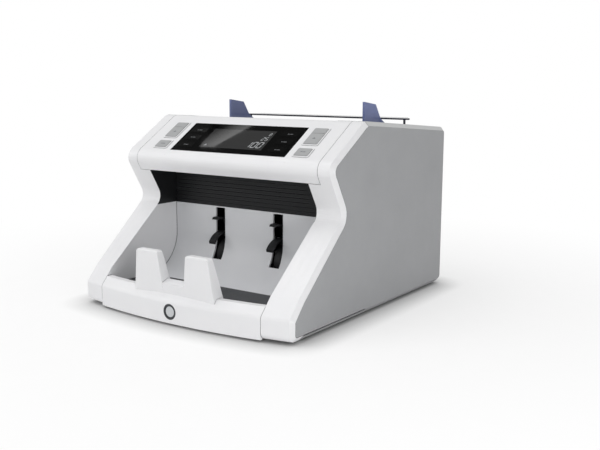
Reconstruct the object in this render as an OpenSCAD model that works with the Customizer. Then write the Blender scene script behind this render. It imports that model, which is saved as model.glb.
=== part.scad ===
// Table-top banknote counter: hopper on top, sloping console with display and
// keys, open pocket in front where the counted notes are stacked.
// X runs to the right, Y to the back, Z up. The origin is the middle of the
// outline on the surface that the rubber feet stand on.

/* [Housing] */
// Width over the two side covers
body_w = 250; // [240:1:270]
// Depth from the bowed lip to the rear cover
body_d = 293; // [285:1:320]
// Wall of the moulded housing parts
wall = 3; // [2.6:0.1:3.2]
// How far the front bulges over the whole width
front_bow = 13.5; // [12:0.5:16]
// How far the middle of the lip stands before its ends
lip_lead = 8; // [7:0.5:9]
// Height of the rubber feet
foot_h = 2.5; // [2:0.5:4]
// Radius of a rubber foot
foot_r = 9; // [6:0.5:10]
// Radius of the housing's long outer corners
corner_r = 7; // [6:0.5:9]
// Radius inside the waist of the cheeks
waist_r = 12; // [8:1:16]
// Radius of the nose
nose_r = 11; // [8:1:13]
// Radius of the crown between console and top cover
crown_r = 12; // [8:1:16]
// Radius of the lip's small edges
edge_r = 6; // [5.2:0.2:7]
// Width of the bevel around the sides
bevel_w = 4; // [3:0.5:5]
// Depth of the bevel around the sides
bevel_d = 3.5; // [2.5:0.5:4.5]
// Gap at the seams between housing parts
seam = 0.4; // [0.3:0.1:0.6]

/* [Side outline] */
// Height of the lip's upright face
lip_face_h = 19.5; // [18:0.5:22]
// Depth of the lip's sloping top face
lip_slope_d = 7; // [6:1:8]
// Rise of the lip's sloping top face
lip_slope_h = 7.8; // [7:0.2:9]
// Distance of the waist behind the front
waist_y = 86; // [83:1:88]
// Height of the waist
waist_z = 98; // [95:1:101]
// Distance of the nose behind the front
nose_y = 60; // [57:1:62]
// Height of the nose
nose_z = 142.5; // [141:0.5:144]
// Distance of the console's crown behind the front
crown_y = 121; // [119:1:123]
// Height of the console's crown
crown_z = 180.5; // [179:0.5:183]
// Height of the housing at the rear
rear_top_z = 168.5; // [166:0.5:171]

/* [Pocket] */
// Room for the drive on each side, from the pocket to the outside
side_room = 29; // [28:0.5:31]
// Height of the pocket's floor
pocket_floor_z = 21; // [19:1:23]
// Distance of the pocket's back behind the front
pocket_back_y = 106; // [104:1:107]
// Radius of the curved pocket plate
pocket_curve_r = 40; // [34:1:44]
// Height of the stop tabs on the lip
tab_top_z = 65.5; // [56:0.5:72]
// Half gap between the tops of the stop tabs
tab_in_x = 17; // [14:0.5:20]
// Width of a stop tab's top
tab_w = 25.5; // [20:0.5:32]
// How much a stop tab widens to its foot on each side
tab_flare = 5.5; // [4:0.5:8]
// Width of the cheeks beside the console
cheek_w = 16.3; // [15:0.1:20]
// Height of the console's underside
console_bottom_z = 127.5; // [125:0.5:129]

/* [Console] */
// Half width of the glossy window
window_x = 69.5; // [66:0.5:71]
// Lower edge of the window, along the slope from the nose
window_low = 12; // [10:0.5:14]
// Height of the window along the slope
window_h = 46.5; // [42:0.5:48]
// Thickness of the window plate
window_t = 2; // [1.6:0.1:2.4]
// Half width of the display glass
glass_x = 38; // [30:1:40]
// Height of the display glass along the slope
glass_h = 30.5; // [26:0.5:32]
// Width of a key in the window
window_key_w = 20; // [14:1:22]
// Height of a key in the window
window_key_h = 8; // [6:0.5:9]
// Width of the grey keys
grey_key_w = 15; // [12:0.5:16]
// Height of a tall grey key
tall_key_h = 24.5; // [20:0.5:26]
// Height of a small grey key
small_key_h = 11; // [9:0.5:12]
// Travel of every key
key_travel = 1.2; // [0.8:0.1:1.3]

/* [Hopper] */
// Height of the hopper bed's front edge
bed_front_z = 132; // [131:0.5:133]
// Slope of the hopper bed in degrees
bed_slope = 24; // [23.5:0.25:24.5]
// Distance of the wide open note guides from the frame plates
guide_room = 8; // [6.5:0.5:12.5]
// Thickness of a note guide
guide_t = 2.4; // [2:0.1:3]
// Height of the guides' front corner
guide_top_z = 196; // [192:1:200]
// Travel of each note guide
guide_travel = 28; // [16:1:30]
// Teeth of the pinion between the two racks
pinion_teeth = 16; // [14:1:18]
// Module of the rack and pinion
rack_module = 1; // [0.9:0.05:1.1]

/* [Note transport] */
// Radius of the feed rollers
feed_r = 18; // [16:0.5:18]
// Radius of the pickup rollers
pickup_r = 13; // [11:0.5:13.5]
// Radius of the pressure rollers
pressure_r = 8; // [6:0.5:8]
// Radius over the vanes of a stacker wheel
stacker_r = 32; // [28:1:33]
// Number of vanes on a stacker wheel
vanes = 8; // [6:1:12]
// Radius of the steel shafts
shaft_r = 3; // [2.5:0.25:3.5]
// Running clearance around a shaft
run = 0.05; // [0.03:0.01:0.08]

/* [Drive] */
// Module of the drive gears
gear_module = 1; // [0.9:0.05:1]
// Teeth of the feed gear
feed_teeth = 32; // [30:1:34]
// Teeth of the idler gear
idler_teeth = 20; // [19:1:22]
// Teeth of the pickup gear
pickup_teeth = 24; // [22:1:26]
// Teeth of the stacker gear
stacker_teeth = 40; // [36:1:44]
// Teeth of the stacker motor's pinion
motor_teeth = 12; // [11:1:14]
// Width of the gears
gear_w = 6; // [4:0.5:7]
// Radius of the main motor's pulley
motor_pulley_r = 8; // [6:0.5:9]
// Radius of the pulley on the feed shaft
feed_pulley_r = 16; // [14:0.5:17]
// Width of the drive belt
belt_w = 6; // [4:0.5:8]

/* [Hidden] */
$fn = 48;
eps = 0.01;

// Colours of the finishes
WHITE = "#ececea";
GREY = "#96979a";
DARK = "#3b3d40";
BLACK = "#161719";
STEEL = "#b4b7bb";
RUBBER = "#2a2a2b";
GLOSS = "#0c0c0d";
SMOKE = [0.30, 0.34, 0.47, 0.75];
BOARD = "#1f6b3f";

// Places of the outline. The front line is y = 0 and the floor is z = 0.
half_w = body_w / 2;
pocket_x = half_w - side_room;
console_x = half_w - cheek_w;
rear_y = body_d - lip_lead;
mid_y = (rear_y - lip_lead) / 2;
base_z = foot_h;
crease_z = base_z + lip_face_h;
lip_top_z = crease_z + lip_slope_h;
bow_r = (half_w * half_w + front_bow * front_bow) / (2 * front_bow);
bow_y = bow_r - lip_lead;
panel_a = atan2(crown_z - nose_z, crown_y - nose_y);
top_a = atan2(rear_top_z - crown_z, rear_y - crown_y);
cover_in_x = half_w - bevel_d - 1.2;
cover_x = cover_in_x - seam;
lip_x = pocket_x - seam;
lip_depth = 13;
bend_d = 2 * lip_slope_d;
bend_z = crease_z + 2 * lip_slope_h;
console_back_y = crown_y + 1;
corner_y = rear_y - corner_r - 2;

// Height of the housing's top face at a distance behind the front
function top_z(y) = crown_z + (y - crown_y) * tan(top_a);

// Inner frame: two steel plates that carry every shaft
plate_t = 2;
plate_gap = 3.5;
plate_x = pocket_x - plate_gap;
guide_x = plate_x - guide_room;
plate_front_y = pocket_back_y + 6.5;
plate_rear_y = rear_y - 17;
inner_x = plate_x - 0.2;
bush_r = shaft_r + 2;

// Axles as [y, z]
feed_axle = [pocket_back_y + 50, bed_front_z - 20];
pickup_along = 29.5;
pickup_proud = 1.5;
bed_front_y = feed_axle[0] + 7;
pickup_axle = [
    bed_front_y + pickup_along * cos(bed_slope) + (pickup_r - pickup_proud) * sin(bed_slope),
    bed_front_z + pickup_along * sin(bed_slope) - (pickup_r - pickup_proud) * cos(bed_slope)
];
note_gap = 0.4;
pressure_angle = 155;
pressure_axle = feed_axle + (feed_r + pressure_r + note_gap) * [cos(pressure_angle), sin(pressure_angle)];
stacker_axle = [pocket_back_y + 18, pocket_floor_z + 40];
stacker_motor_angle = -40;
stacker_centres = gear_module * (stacker_teeth + motor_teeth) / 2;
stacker_motor_axle = stacker_axle + stacker_centres * [cos(stacker_motor_angle), sin(stacker_motor_angle)];
main_motor_back = 59;
main_motor_drop = 46;
main_motor_axle = feed_axle + [main_motor_back, -main_motor_drop];
main_motor_r = 21;
main_motor_len = 62;
main_boss_r = 7;
stacker_motor_r = 15;
stacker_motor_len = 46;
stacker_boss_r = 5;
motor_tail = 4;

// The idler gear sits where the circles of both centre distances cross
feed_idler = gear_module * (feed_teeth + idler_teeth) / 2;
idler_pickup = gear_module * (idler_teeth + pickup_teeth) / 2;
train = pickup_axle - feed_axle;
train_len = norm(train);
train_a = atan2(train[1], train[0]);
idler_bend = acos((feed_idler * feed_idler + train_len * train_len - idler_pickup * idler_pickup)
    / (2 * feed_idler * train_len));
idler_a = train_a - idler_bend;
idler_axle = feed_axle + feed_idler * [cos(idler_a), sin(idler_a)];
idler_to_pickup = pickup_axle - idler_axle;
pickup_a = atan2(idler_to_pickup[1], idler_to_pickup[0]);

// Layers outside the right and left frame plates
gear_x = plate_x + plate_t + 3.5;
stacker_gear_x = gear_x + gear_w + 2;
pulley_x = -(plate_x + plate_t + 7);
shaft_end = stacker_gear_x + gear_w + 1;

// Distance of the bowed front behind the front line, at a distance beside the middle
function bow_at(x) = bow_y - sqrt(bow_r * bow_r - x * x);

// Points of the side outline with its toe moved back, clockwise from the foot of the rear.
// The end faces of side_block fan out from the first one.
function side_points(toe) = [
    [rear_y, base_z], [toe, base_z], [toe, crease_z], [toe + bend_d, bend_z], [waist_y, waist_z],
    [nose_y, nose_z], [crown_y, crown_z], [rear_y, rear_top_z]
];
side_radii = [corner_r, corner_r, edge_r, edge_r, waist_r, nose_r, crown_r, corner_r];
side_steps = [7, 7, 4, 0, 7, 8, 4, 7];

// Moves a node from the front line to the middle of the part
module in_frame() translate([0, -mid_y, 0]) children();

// Extrudes a shape drawn as [y, z] from x0 to x1
module across(x0, x1) translate([x0, 0, 0]) rotate([90, 0, 90]) linear_extrude(x1 - x0) children();

// Round bar along X
module bar(axle, r, x0, x1) translate([x0, axle[0], axle[1]]) rotate([0, 90, 0]) cylinder(r = r, h = x1 - x0);

// Draws its children on the right and, mirrored, on the left
module both_sides() {
    children();
    mirror([1, 0, 0]) children();
}

// The console's own plane: x to the right, y up the slope from the nose, z outwards
module on_console() translate([0, nose_y, nose_z]) rotate([panel_a, 0, 0]) children();

// Rectangle with round corners, standing on y0
module pad(w, h, y0, r) translate([-w / 2, y0]) {
    translate([r, 0]) square([w - 2 * r, h]);
    translate([0, r]) square([w, h - 2 * r]);
    for (x = [r, w - r], y = [r, h - r]) translate([x, y]) circle(r = r);
}

// Corner p of an outline between its neighbours a and b, rounded to radius r in n steps
function unit(v) = v / norm(v);
function round_corner(a, p, b, r, n) = n == 0 ? [p] : let (
    u = unit(a - p),
    v = unit(b - p),
    half = acos(u * v) / 2,
    centre = p + unit(u + v) * r / sin(half),
    from = p + u * r / tan(half) - centre,
    to = p + v * r / tan(half) - centre,
    a0 = atan2(from[1], from[0]),
    sweep = ((atan2(to[1], to[0]) - a0 + 540) % 360) - 180
) [for (i = [0:n]) centre + r * [cos(a0 + sweep * i / n), sin(a0 + sweep * i / n)]];

// Outline moved inwards by d, every edge parallel to itself. Points run clockwise.
function inset(points, d) = let (n = len(points)) [
    for (i = [0:n - 1]) let (
        u = unit(points[i] - points[(i + n - 1) % n]),
        v = unit(points[(i + 1) % n] - points[i]),
        m = unit([u[1] + v[1], -u[0] - v[0]])
    ) points[i] + m * d / (m * [u[1], -u[0]])
];

// Outline of a slice through the side, with its toe at that place
function outline(toe) = let (points = side_points(toe), n = len(points)) [
    for (i = [0:n - 1]) each round_corner(
        points[(i + n - 1) % n], points[i], points[(i + 1) % n], side_radii[i], side_steps[i])
];

bevel_x = half_w - bevel_d;
side_outline = outline(0);
end_outline = outline(bow_at(bevel_x));
module side_shape() polygon(side_outline);
module side_inner(d) polygon(inset(side_outline, d));
module end_inner(d) polygon(inset(end_outline, d));

// Solid through outlines of equal length, each at its place on X
module through(xs, outlines) {
    n = len(outlines[0]);
    last = (len(xs) - 1) * n;
    polyhedron(
        points = [for (k = [0:len(xs) - 1], p = outlines[k]) [xs[k], p[0], p[1]]],
        faces = concat(
            [[for (i = [n - 1:-1:0]) i]],
            [for (k = [0:n:last - 1], i = [0:n - 1]) each [
                [k + i, k + (i + 1) % n, k + n + (i + 1) % n], [k + i, k + n + (i + 1) % n, k + n + i]
            ]],
            [[for (i = [0:n - 1]) last + i]]
        )
    );
}

// Slices that follow the bow from x0 to x1
function slices(x0, x1) = let (n = ceil((x1 - x0) / 9)) [for (i = [0:n]) x0 + (x1 - x0) * i / n];

// One end of the housing, with its bowed toe and its bevel, from x0 to the outside
module side_block(x0) {
    xs = slices(x0, bevel_x);
    through(concat(xs, [half_w]), concat([for (x = xs) outline(bow_at(x))], [inset(end_outline, bevel_w)]));
}

// Space behind the lip's bowed front
module behind_bow(inset, z0, z1) {
    translate([0, bow_y, z0]) cylinder(r = bow_r - inset, h = z1 - z0, $fn = 360);
}

// White cheek beside the pocket and the console
side_wall = 2.5;
rim = bevel_w + 0.2;
ledge_z = console_bottom_z - seam;
module right_cheek() {
    rim_x = cover_in_x - 2;
    xs = slices(pocket_x + side_wall, rim_x);
    color(WHITE) in_frame() difference() {
        side_block(pocket_x);
        // hollow behind the skin, over and under the ledge below the console
        difference() {
            through(xs, [for (x = xs) inset(outline(bow_at(x)), wall)]);
            translate([pocket_x, -1, ledge_z - side_wall]) cube([half_w - pocket_x - wall, pocket_back_y + 6, side_wall]);
        }
        // the rim that carries the bevel and meets the side cover stays
        across(rim_x - 1, half_w + 1) end_inner(rim);
        across(pocket_x - 1, half_w + 1) cheek_back();
        translate([pocket_x - 1, pocket_back_y + 5, 0]) cube([side_wall + 2, rear_y, crown_z]);
        // room for the console's end
        translate([pocket_x - 1, 0, ledge_z]) cube([console_x + seam - pocket_x + 1, console_back_y + 1, crown_z]);
    }
}

// What lies behind the cheek: the side cover's and the top cover's room
module cheek_back() {
    translate([console_back_y, base_z - 1]) square([rear_y, crown_z]);
    translate([20, base_z - 1]) square([rear_y, bevel_w + 1.2]);
}

module left_cheek() mirror([1, 0, 0]) right_cheek();

// Grey side cover: a shallow tray that closes the housing's end
module right_side_cover() {
    strip_x = pocket_x + side_wall + seam;
    strip_y = 20 + seam + bevel_w;
    color(GREY) in_frame() {
        difference() {
            side_block(cover_in_x);
            across(cover_in_x - 1, half_w - wall) end_inner(wall);
            // the cheek's rim
            across(cover_in_x - 1, half_w + 1) difference() {
                end_inner(-1);
                end_inner(rim + seam);
                translate([console_back_y + seam, -1]) square([rear_y, crown_z + 2]);
                translate([20 + seam, -1]) square([rear_y, bevel_w + base_z]);
            }
        }
        // floor strip beside the base pan
        translate([strip_x, strip_y, base_z]) cube([cover_in_x - strip_x + 1, corner_y - strip_y, 2.5]);
    }
}

module left_side_cover() mirror([1, 0, 0]) right_side_cover();

// Middle band of the housing between the side covers, one wall thick
module housing_band() difference() {
    side_shape();
    side_inner(wall);
}

// Grey top cover: a frame around the hopper with a well for the gap knob
knob_y = rear_y - 23;
knob_r = 10;
well_r = knob_r + 1.5;
well_floor_z = top_z(knob_y) - 6.5;
stem_r = 1.2;
stem_x = plate_x + plate_t + 5.5;
stem_y = rear_y - 46.5;
hopper_rear_y = bed_front_y + 83;

module top_cover() {
    color(GREY) in_frame() difference() {
        union() {
            across(-cover_x, cover_x) intersection() {
                housing_band();
                translate([console_back_y + seam, base_z + 100])
                    square([corner_y - console_back_y - 2 * seam, crown_z]);
            }
            // well of the knob
            translate([0, knob_y, well_floor_z - 2]) cylinder(r = well_r + 1.6, h = 6.5);
            // sleeves that guide the note support
            both_sides() translate([stem_x, stem_y, top_z(stem_y) - 18]) cylinder(r = 3.5, h = 16);
        }
        // hopper mouth
        translate([-inner_x, console_back_y - 1, base_z + 90])
            cube([2 * inner_x, hopper_rear_y - console_back_y + 1, crown_z]);
        translate([0, knob_y, well_floor_z]) cylinder(r = well_r, h = 20);
        translate([0, knob_y, well_floor_z - 5]) cylinder(r = shaft_r + run, h = 10);
        both_sides() translate([stem_x, stem_y, base_z + 100]) cylinder(r = stem_r + run, h = crown_z);
    }
}

// Grey rear cover with vents and the cut-outs for inlet, switch and ports
inlet_x = half_w - 47;
inlet_z = 34;
rocker_z = 66;
port_x = -40;
port_z = 34;
vent_w = 60;
vent_pitch = 6;
vent_count = 8;
board_left = -(plate_x - 6.5);
board_right = 40;

module rear_cover() {
    color(GREY) in_frame() {
        difference() {
            across(-cover_x, cover_x) intersection() {
                housing_band();
                translate([corner_y, 0]) square([rear_y, crown_z + 1]);
            }
            translate([inlet_x - 16, rear_y - 1.6, inlet_z - 12.5]) cube([32, 5, 25]);
            translate([inlet_x - 14, rear_y - 20, inlet_z - 10.5]) cube([28, 30, 21]);
            translate([inlet_x - 10, rear_y - 20, rocker_z - 7]) cube([20, 30, 14]);
            translate([port_x - 15, rear_y - 20, port_z - 7]) cube([30, 30, 14]);
            for (side = [-1, 1], i = [0:vent_count - 1])
                translate([side * 45 - vent_w / 2, rear_y - wall - 5, 96 + i * vent_pitch])
                    cube([vent_w, wall + 6, 2.4]);
        }
        // frame of the power switch, set back in the cover
        difference() {
            translate([inlet_x - 10, rear_y - 13, rocker_z - 7]) cube([20, 12.6, 14]);
            translate([inlet_x - 8.6, rear_y - 12, rocker_z - 5.6]) cube([17.2, 20, 11.2]);
        }
        // bosses for the main board
        for (x = [board_left + 8, board_right - 8], z = [28, 88])
            translate([x, rear_y - wall + eps, z]) rotate([90, 0, 0])
            cylinder(r = 3.5, h = 10.4);
    }
}

// Dark base pan with the pocket's floor deck
foot_x = half_w - 41;
foot_front_y = 28;
foot_rear_y = rear_y - 22;

module base_pan() {
    deck_d = pocket_back_y - pocket_curve_r - seam;
    rib_x = lip_x - 5.6;
    color(DARK) in_frame() difference() {
        union() {
            intersection() {
                translate([-lip_x, 0, base_z]) cube([2 * lip_x, corner_y - seam, 2.5]);
                behind_bow(lip_depth + seam, 0, 50);
            }
            // deck that the notes stand on
            intersection() {
                translate([-lip_x, 0, pocket_floor_z - 2.5]) cube([2 * lip_x, deck_d, 2.5]);
                behind_bow(lip_depth + seam, 0, 50);
            }
            for (x = [-rib_x:rib_x / 2.5:rib_x]) intersection() {
                translate([x - 1.25, 0, base_z]) cube([2.5, deck_d, pocket_floor_z - base_z - 1]);
                behind_bow(lip_depth + seam, 0, 50);
            }
            translate([-lip_x, deck_d - 2.5, base_z]) cube([2 * lip_x, 2.5, pocket_floor_z - base_z - 1]);
            // ledges that carry the frame plates
            both_sides() translate([plate_x - 2.5, plate_front_y, base_z])
                cube([2.3, plate_rear_y - plate_front_y, 8]);
        }
        // cooling slots
        for (i = [0:7]) translate([-50, 165 + i * 9, base_z - 1]) cube([100, 4, 5]);
    }
}

module rubber_feet() {
    color(RUBBER) in_frame() both_sides() for (y = [foot_front_y, foot_rear_y])
        translate([foot_x, y, 0]) difference() {
            cylinder(r = foot_r, h = foot_h);
            translate([0, 0, -1]) cylinder(r = foot_r / 3, h = 2);
        }
}

// White front lip, bowed along its length, with the two stop tabs
tab_front_y = -lip_lead + 5.6;
tab_back_y = lip_depth - 3;
tab_lean = 2.2;
module lip_profile() {
    t = 2.5;
    polygon([
        [0, base_z], each round_corner([0, base_z], [0, crease_z], [-lip_slope_d, lip_top_z], edge_r, 4),
        [-lip_slope_d, lip_top_z], [-lip_depth, lip_top_z], [-lip_depth, lip_top_z - t],
        [-lip_slope_d - 1, lip_top_z - t], [-t, crease_z - 1.2], [-t, base_z]
    ]);
}

// Right stop tab seen from the front
module tab_shape() {
    foot_z = crease_z + 2;
    points = [
        [tab_in_x - tab_flare, foot_z], [tab_in_x, tab_top_z], [tab_in_x + tab_w, tab_top_z],
        [tab_in_x + tab_w + tab_flare, foot_z]
    ];
    polygon([for (i = [0:3]) each round_corner(
        points[(i + 3) % 4], points[i], points[(i + 1) % 4], 2.5, i % 3 == 0 ? 0 : 4)]);
}

// Wedge that the tabs are cut from, and the low web between them, drawn as [y, z]
module tab_wedge() polygon([
    [tab_front_y, crease_z + 2.5], [tab_front_y - tab_lean, tab_top_z - 1.2],
    [tab_front_y - tab_lean + 1.2, tab_top_z], [tab_front_y - tab_lean + 6.5, tab_top_z],
    [tab_back_y, lip_top_z], [tab_back_y, lip_top_z - 2], [tab_front_y + 4, lip_top_z - 2.4]
]);
module tab_web() polygon([
    [tab_front_y, crease_z + 2.5], [tab_front_y - 0.6, lip_top_z + 7], [tab_front_y + 6.5, lip_top_z + 9.5],
    [tab_front_y + 8, lip_top_z + 9.5], [tab_back_y, lip_top_z], [tab_back_y, lip_top_z - 2],
    [tab_front_y + 4, lip_top_z - 2.4]
]);

module front_lip() {
    color(WHITE) in_frame() difference() {
        union() {
            intersection() {
                translate([0, bow_y, 0]) rotate_extrude(angle = 30, start = 255, $fn = 360)
                    translate([bow_r, 0]) lip_profile();
                translate([-lip_x, -lip_lead - 1, 0]) cube([2 * lip_x, 40, 60]);
            }
            both_sides() intersection() {
                across(0, 2 * tab_in_x + tab_w) tab_wedge();
                translate([0, 30, 0]) rotate([90, 0, 0]) linear_extrude(60) tab_shape();
            }
            across(-tab_in_x + 2, tab_in_x - 2) tab_web();
        }
        translate([0, -lip_lead - 1, badge_z]) rotate([-90, 0, 0]) cylinder(r = badge_r + 0.1, h = 2.2);
    }
}

// Round bare badge set into the lip
badge_r = 7.2;
badge_z = base_z + 10.6;
module badge() {
    color("#8a8c8f") in_frame() translate([0, -lip_lead + 0.1, badge_z]) rotate([-90, 0, 0]) difference() {
        cylinder(r = badge_r, h = 1.1);
        translate([0, 0, -1]) cylinder(r = badge_r - 1.3, h = 1.4);
    }
}

// Places of the keys in the console's plane: [x, lower edge]
window_key_x = 55.5;
window_key_pitch = 12.3;
window_key_low = window_low + 9.8;
grey_key_x = 85;
tall_key_low = window_low + 20.5;
small_key_low = window_low + 2.8;
key_gap = 0.25;
rim_w = 1.4;
rim_h = 0.6;

// White console: sloping panel, rounded nose, underside and back in one moulding
module console_panel() {
    shelf = 3.5;
    color(WHITE) in_frame() difference() {
        union() {
            across(-console_x, console_x) difference() {
                console_region(0);
                console_region(wall);
            }
            on_console() {
                for (side = [-1, 1]) translate([side * grey_key_x, 0, 0]) {
                    linear_extrude(rim_h) pad(grey_key_w + 2 * rim_w, tall_key_h + 2 * rim_w, tall_key_low - rim_w, 1.5);
                    linear_extrude(rim_h) pad(grey_key_w + 2 * rim_w, small_key_h + 2 * rim_w, small_key_low - rim_w, 1.5);
                }
                // posts for the keypad board
                for (x = [-73, 73], y = [window_low - 4, window_low + window_h + 2])
                    translate([x, y, -board_depth]) cylinder(r = 2.3, h = board_depth - 1);
            }
        }
        on_console() {
            translate([0, 0, -window_t]) linear_extrude(20) pad(2 * window_x, window_h, window_low, 0.8);
            translate([0, 0, -window_t - 5]) linear_extrude(20)
                pad(2 * (window_x - shelf), window_h - 2 * shelf, window_low + shelf, 0.8);
            for (side = [-1, 1]) translate([side * grey_key_x, 0, -wall - 5]) {
                linear_extrude(20) pad(grey_key_w, tall_key_h, tall_key_low, 0.8);
                linear_extrude(20) pad(grey_key_w, small_key_h, small_key_low, 0.8);
            }
        }
    }
}

// Cross-section of the console, or of the room inside it, drawn as [y, z]
module console_region(d) intersection() {
    side_inner(d);
    translate([0, console_bottom_z + d]) square([console_back_y - d, crown_z]);
}

// Glossy black window plate with holes for six keys and the display glass
module display_window() {
    color(GLOSS) in_frame() on_console() difference() {
        translate([0, 0, -window_t]) linear_extrude(window_t) pad(2 * window_x - 0.2, window_h - 0.2, window_low + 0.1, 0.7);
        translate([0, 0, -window_t - 1]) linear_extrude(window_t + 2) {
            translate([0, glass_low]) translate([-glass_x, 0]) square([2 * glass_x, glass_h]);
            for (side = [-1, 1], i = [0:2])
                translate([side * window_key_x, 0])
                    pad(window_key_w, window_key_h, window_key_low - 4 + i * window_key_pitch, 1.5);
        }
    }
}

glass_low = window_low + 7.7;
module display_glass() {
    color("#3a3b3d") in_frame() on_console() translate([-glass_x + 0.1, glass_low + 0.1, -window_t])
        cube([2 * glass_x - 0.2, glass_h - 0.2, window_t]);
}

// Key cap with the stem that reaches its switch, in the console's plane
board_depth = 8;
switch_h = 1.4;
module key_cap(w, h, low, proud, skirt) {
    stem_z = -board_depth + switch_h + key_travel + 0.2;
    translate([0, 0, -skirt]) linear_extrude(skirt + proud)
        pad(w - 2 * key_gap, h - 2 * key_gap, low + key_gap, 1.2);
    translate([0, low + h / 2, stem_z]) cylinder(r = 1.5, h = -skirt - stem_z + 0.5);
}

module window_key(side, row) {
    color(GLOSS) in_frame() on_console() translate([side * window_key_x, 0, 0])
        key_cap(window_key_w, window_key_h, window_key_low - 4 + row * window_key_pitch, 0.3, 3);
}

module tall_key(side) {
    color("#a8a8a8") in_frame() on_console() translate([side * grey_key_x, 0, 0]) difference() {
        key_cap(grey_key_w, tall_key_h, tall_key_low, 1.1, 4);
        // groove across the key
        translate([-grey_key_w, tall_key_low + tall_key_h * 0.66, 0.7]) cube([2 * grey_key_w, 0.6, 2]);
    }
}

module small_key(side) {
    color("#a8a8a8") in_frame() on_console() translate([side * grey_key_x, 0, 0])
        key_cap(grey_key_w, small_key_h, small_key_low, 1.1, 4);
}

// Green keypad board with the display module and one switch under each key
module keypad_board() {
    board_t = 1.6;
    keypad_x = console_x - 11.7;
    color(BOARD) in_frame() on_console() {
        translate([-keypad_x, window_low - 7, -board_depth - board_t]) cube([2 * keypad_x, window_h + 12, board_t]);
        // display module under the glass
        translate([-glass_x - 4, glass_low - 2, -board_depth]) cube([2 * glass_x + 8, glass_h + 4, board_depth - window_t - 0.2]);
        for (side = [-1, 1]) {
            for (row = [0:2]) key_switch(side * window_key_x, window_key_low - 4 + row * window_key_pitch + window_key_h / 2);
            key_switch(side * grey_key_x, tall_key_low + tall_key_h / 2);
            key_switch(side * grey_key_x, small_key_low + small_key_h / 2);
        }
    }
}

module key_switch(x, y) translate([x - 3, y - 3, -board_depth - eps]) cube([6, 6, switch_h + eps]);

// Light curved plate at the pocket's back, slotted for the stacker wheels
wheel_w = 8;
wheel_x = plate_x - stacker_motor_len - motor_tail - 2.5 - wheel_w / 2;
wheel_room = 2;
back_split_z = pocket_floor_z + 70;
module pocket_plate() {
    t = 2;
    cy = pocket_back_y - pocket_curve_r;
    cz = pocket_floor_z + pocket_curve_r;
    color("#d9dadb") in_frame() difference() {
        across(-lip_x, lip_x) {
            intersection() {
                translate([cy, cz]) difference() {
                    circle(r = pocket_curve_r + t, $fn = 96);
                    circle(r = pocket_curve_r, $fn = 96);
                }
                translate([cy, cz - 2 * pocket_curve_r]) square([2 * pocket_curve_r, 2 * pocket_curve_r]);
            }
            translate([pocket_back_y, cz]) square([t, back_split_z - cz]);
        }
        both_sides() bar(stacker_axle, stacker_r + wheel_room, wheel_x - wheel_w / 2 - wheel_room, wheel_x + wheel_w / 2 + wheel_room);
    }
}

// Black upper back of the pocket with fine ribs
module pocket_back_wall() {
    color(BLACK) in_frame() {
        difference() {
            translate([-lip_x, pocket_back_y, back_split_z + 0.2]) cube([2 * lip_x, 2.5, console_bottom_z - back_split_z - 0.6]);
            both_sides() bar(stacker_axle, stacker_r + wheel_room, wheel_x - wheel_w / 2 - wheel_room, wheel_x + wheel_w / 2 + wheel_room);
        }
        for (i = [0:7]) translate([-lip_x, pocket_back_y - 0.8, back_split_z + 3 + i * 4]) cube([2 * lip_x, 0.8 + eps, 1]);
    }
}

// Frame that slides along the hopper bed: origin on its front edge, x right, y up the slope
module on_bed() translate([0, bed_front_y, bed_front_z]) rotate([bed_slope, 0, 0]) children();

// Pinion and racks under the bed. Left rack in front, right rack behind.
pitch_r = rack_module * pinion_teeth / 2;
pinion_y = bed_front_y + 59;
rack_z = bed_front_z + 9;
rack_h = 4;
rack_w = 4;
root = 1.25 * rack_module;
bed_t = 3;

module hopper_bed() {
    bed_len = (hopper_rear_y - bed_front_y - 1) / cos(bed_slope);
    slot_x = guide_x + guide_t / 2 + 1;
    color(BLACK) in_frame() difference() {
        union() {
            on_bed() translate([-inner_x, 0, -bed_t]) cube([2 * inner_x, bed_len, bed_t]);
            // post of the pinion
            translate([0, pinion_y, rack_z]) cylinder(r = 2.5, h = bed_z(pinion_y) - rack_z - 2);
            translate([0, pinion_y, rack_z + rack_h + 0.3]) cylinder(r = 5, h = bed_z(pinion_y) - rack_z - rack_h - 2.3);
        }
        // windows of the pickup rollers
        both_sides() bar(pickup_axle, pickup_r + 1.5, pickup_x - pickup_w / 2 - 1.5, pickup_x + pickup_w / 2 + 1.5);
        // slots of the note guides
        translate([-slot_x, front_rack_y - 0.3, rack_z]) cube([slot_x - guide_x + guide_travel + 4, rack_w + 0.6, 60]);
        translate([guide_x - guide_travel - 4, rear_rack_y - 0.3, rack_z]) cube([slot_x - guide_x + guide_travel + 4, rack_w + 0.6, 60]);
    }
}

// Height of the bed's upper face at a distance behind the front
function bed_z(y) = bed_front_z + (y - bed_front_y) * tan(bed_slope);

front_rack_y = pinion_y - pitch_r - root - rack_w;
rear_rack_y = pinion_y + pitch_r + root;
guide_front_y = feed_axle[0] + 26;

// Fin of a note guide above the bed, drawn as [y, z]
module guide_fin() {
    lift = 0.3;
    polygon([
        [guide_front_y, bed_z(guide_front_y) + lift], [guide_front_y, guide_top_z],
        [guide_front_y + 22, guide_top_z - 2.8], [guide_front_y + 32, guide_top_z - 17],
        [rear_rack_y + rack_w + 1, bed_z(rear_rack_y + rack_w + 1) + lift + 2],
        [rear_rack_y + rack_w + 1, bed_z(rear_rack_y + rack_w + 1) + lift]
    ]);
}

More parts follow.
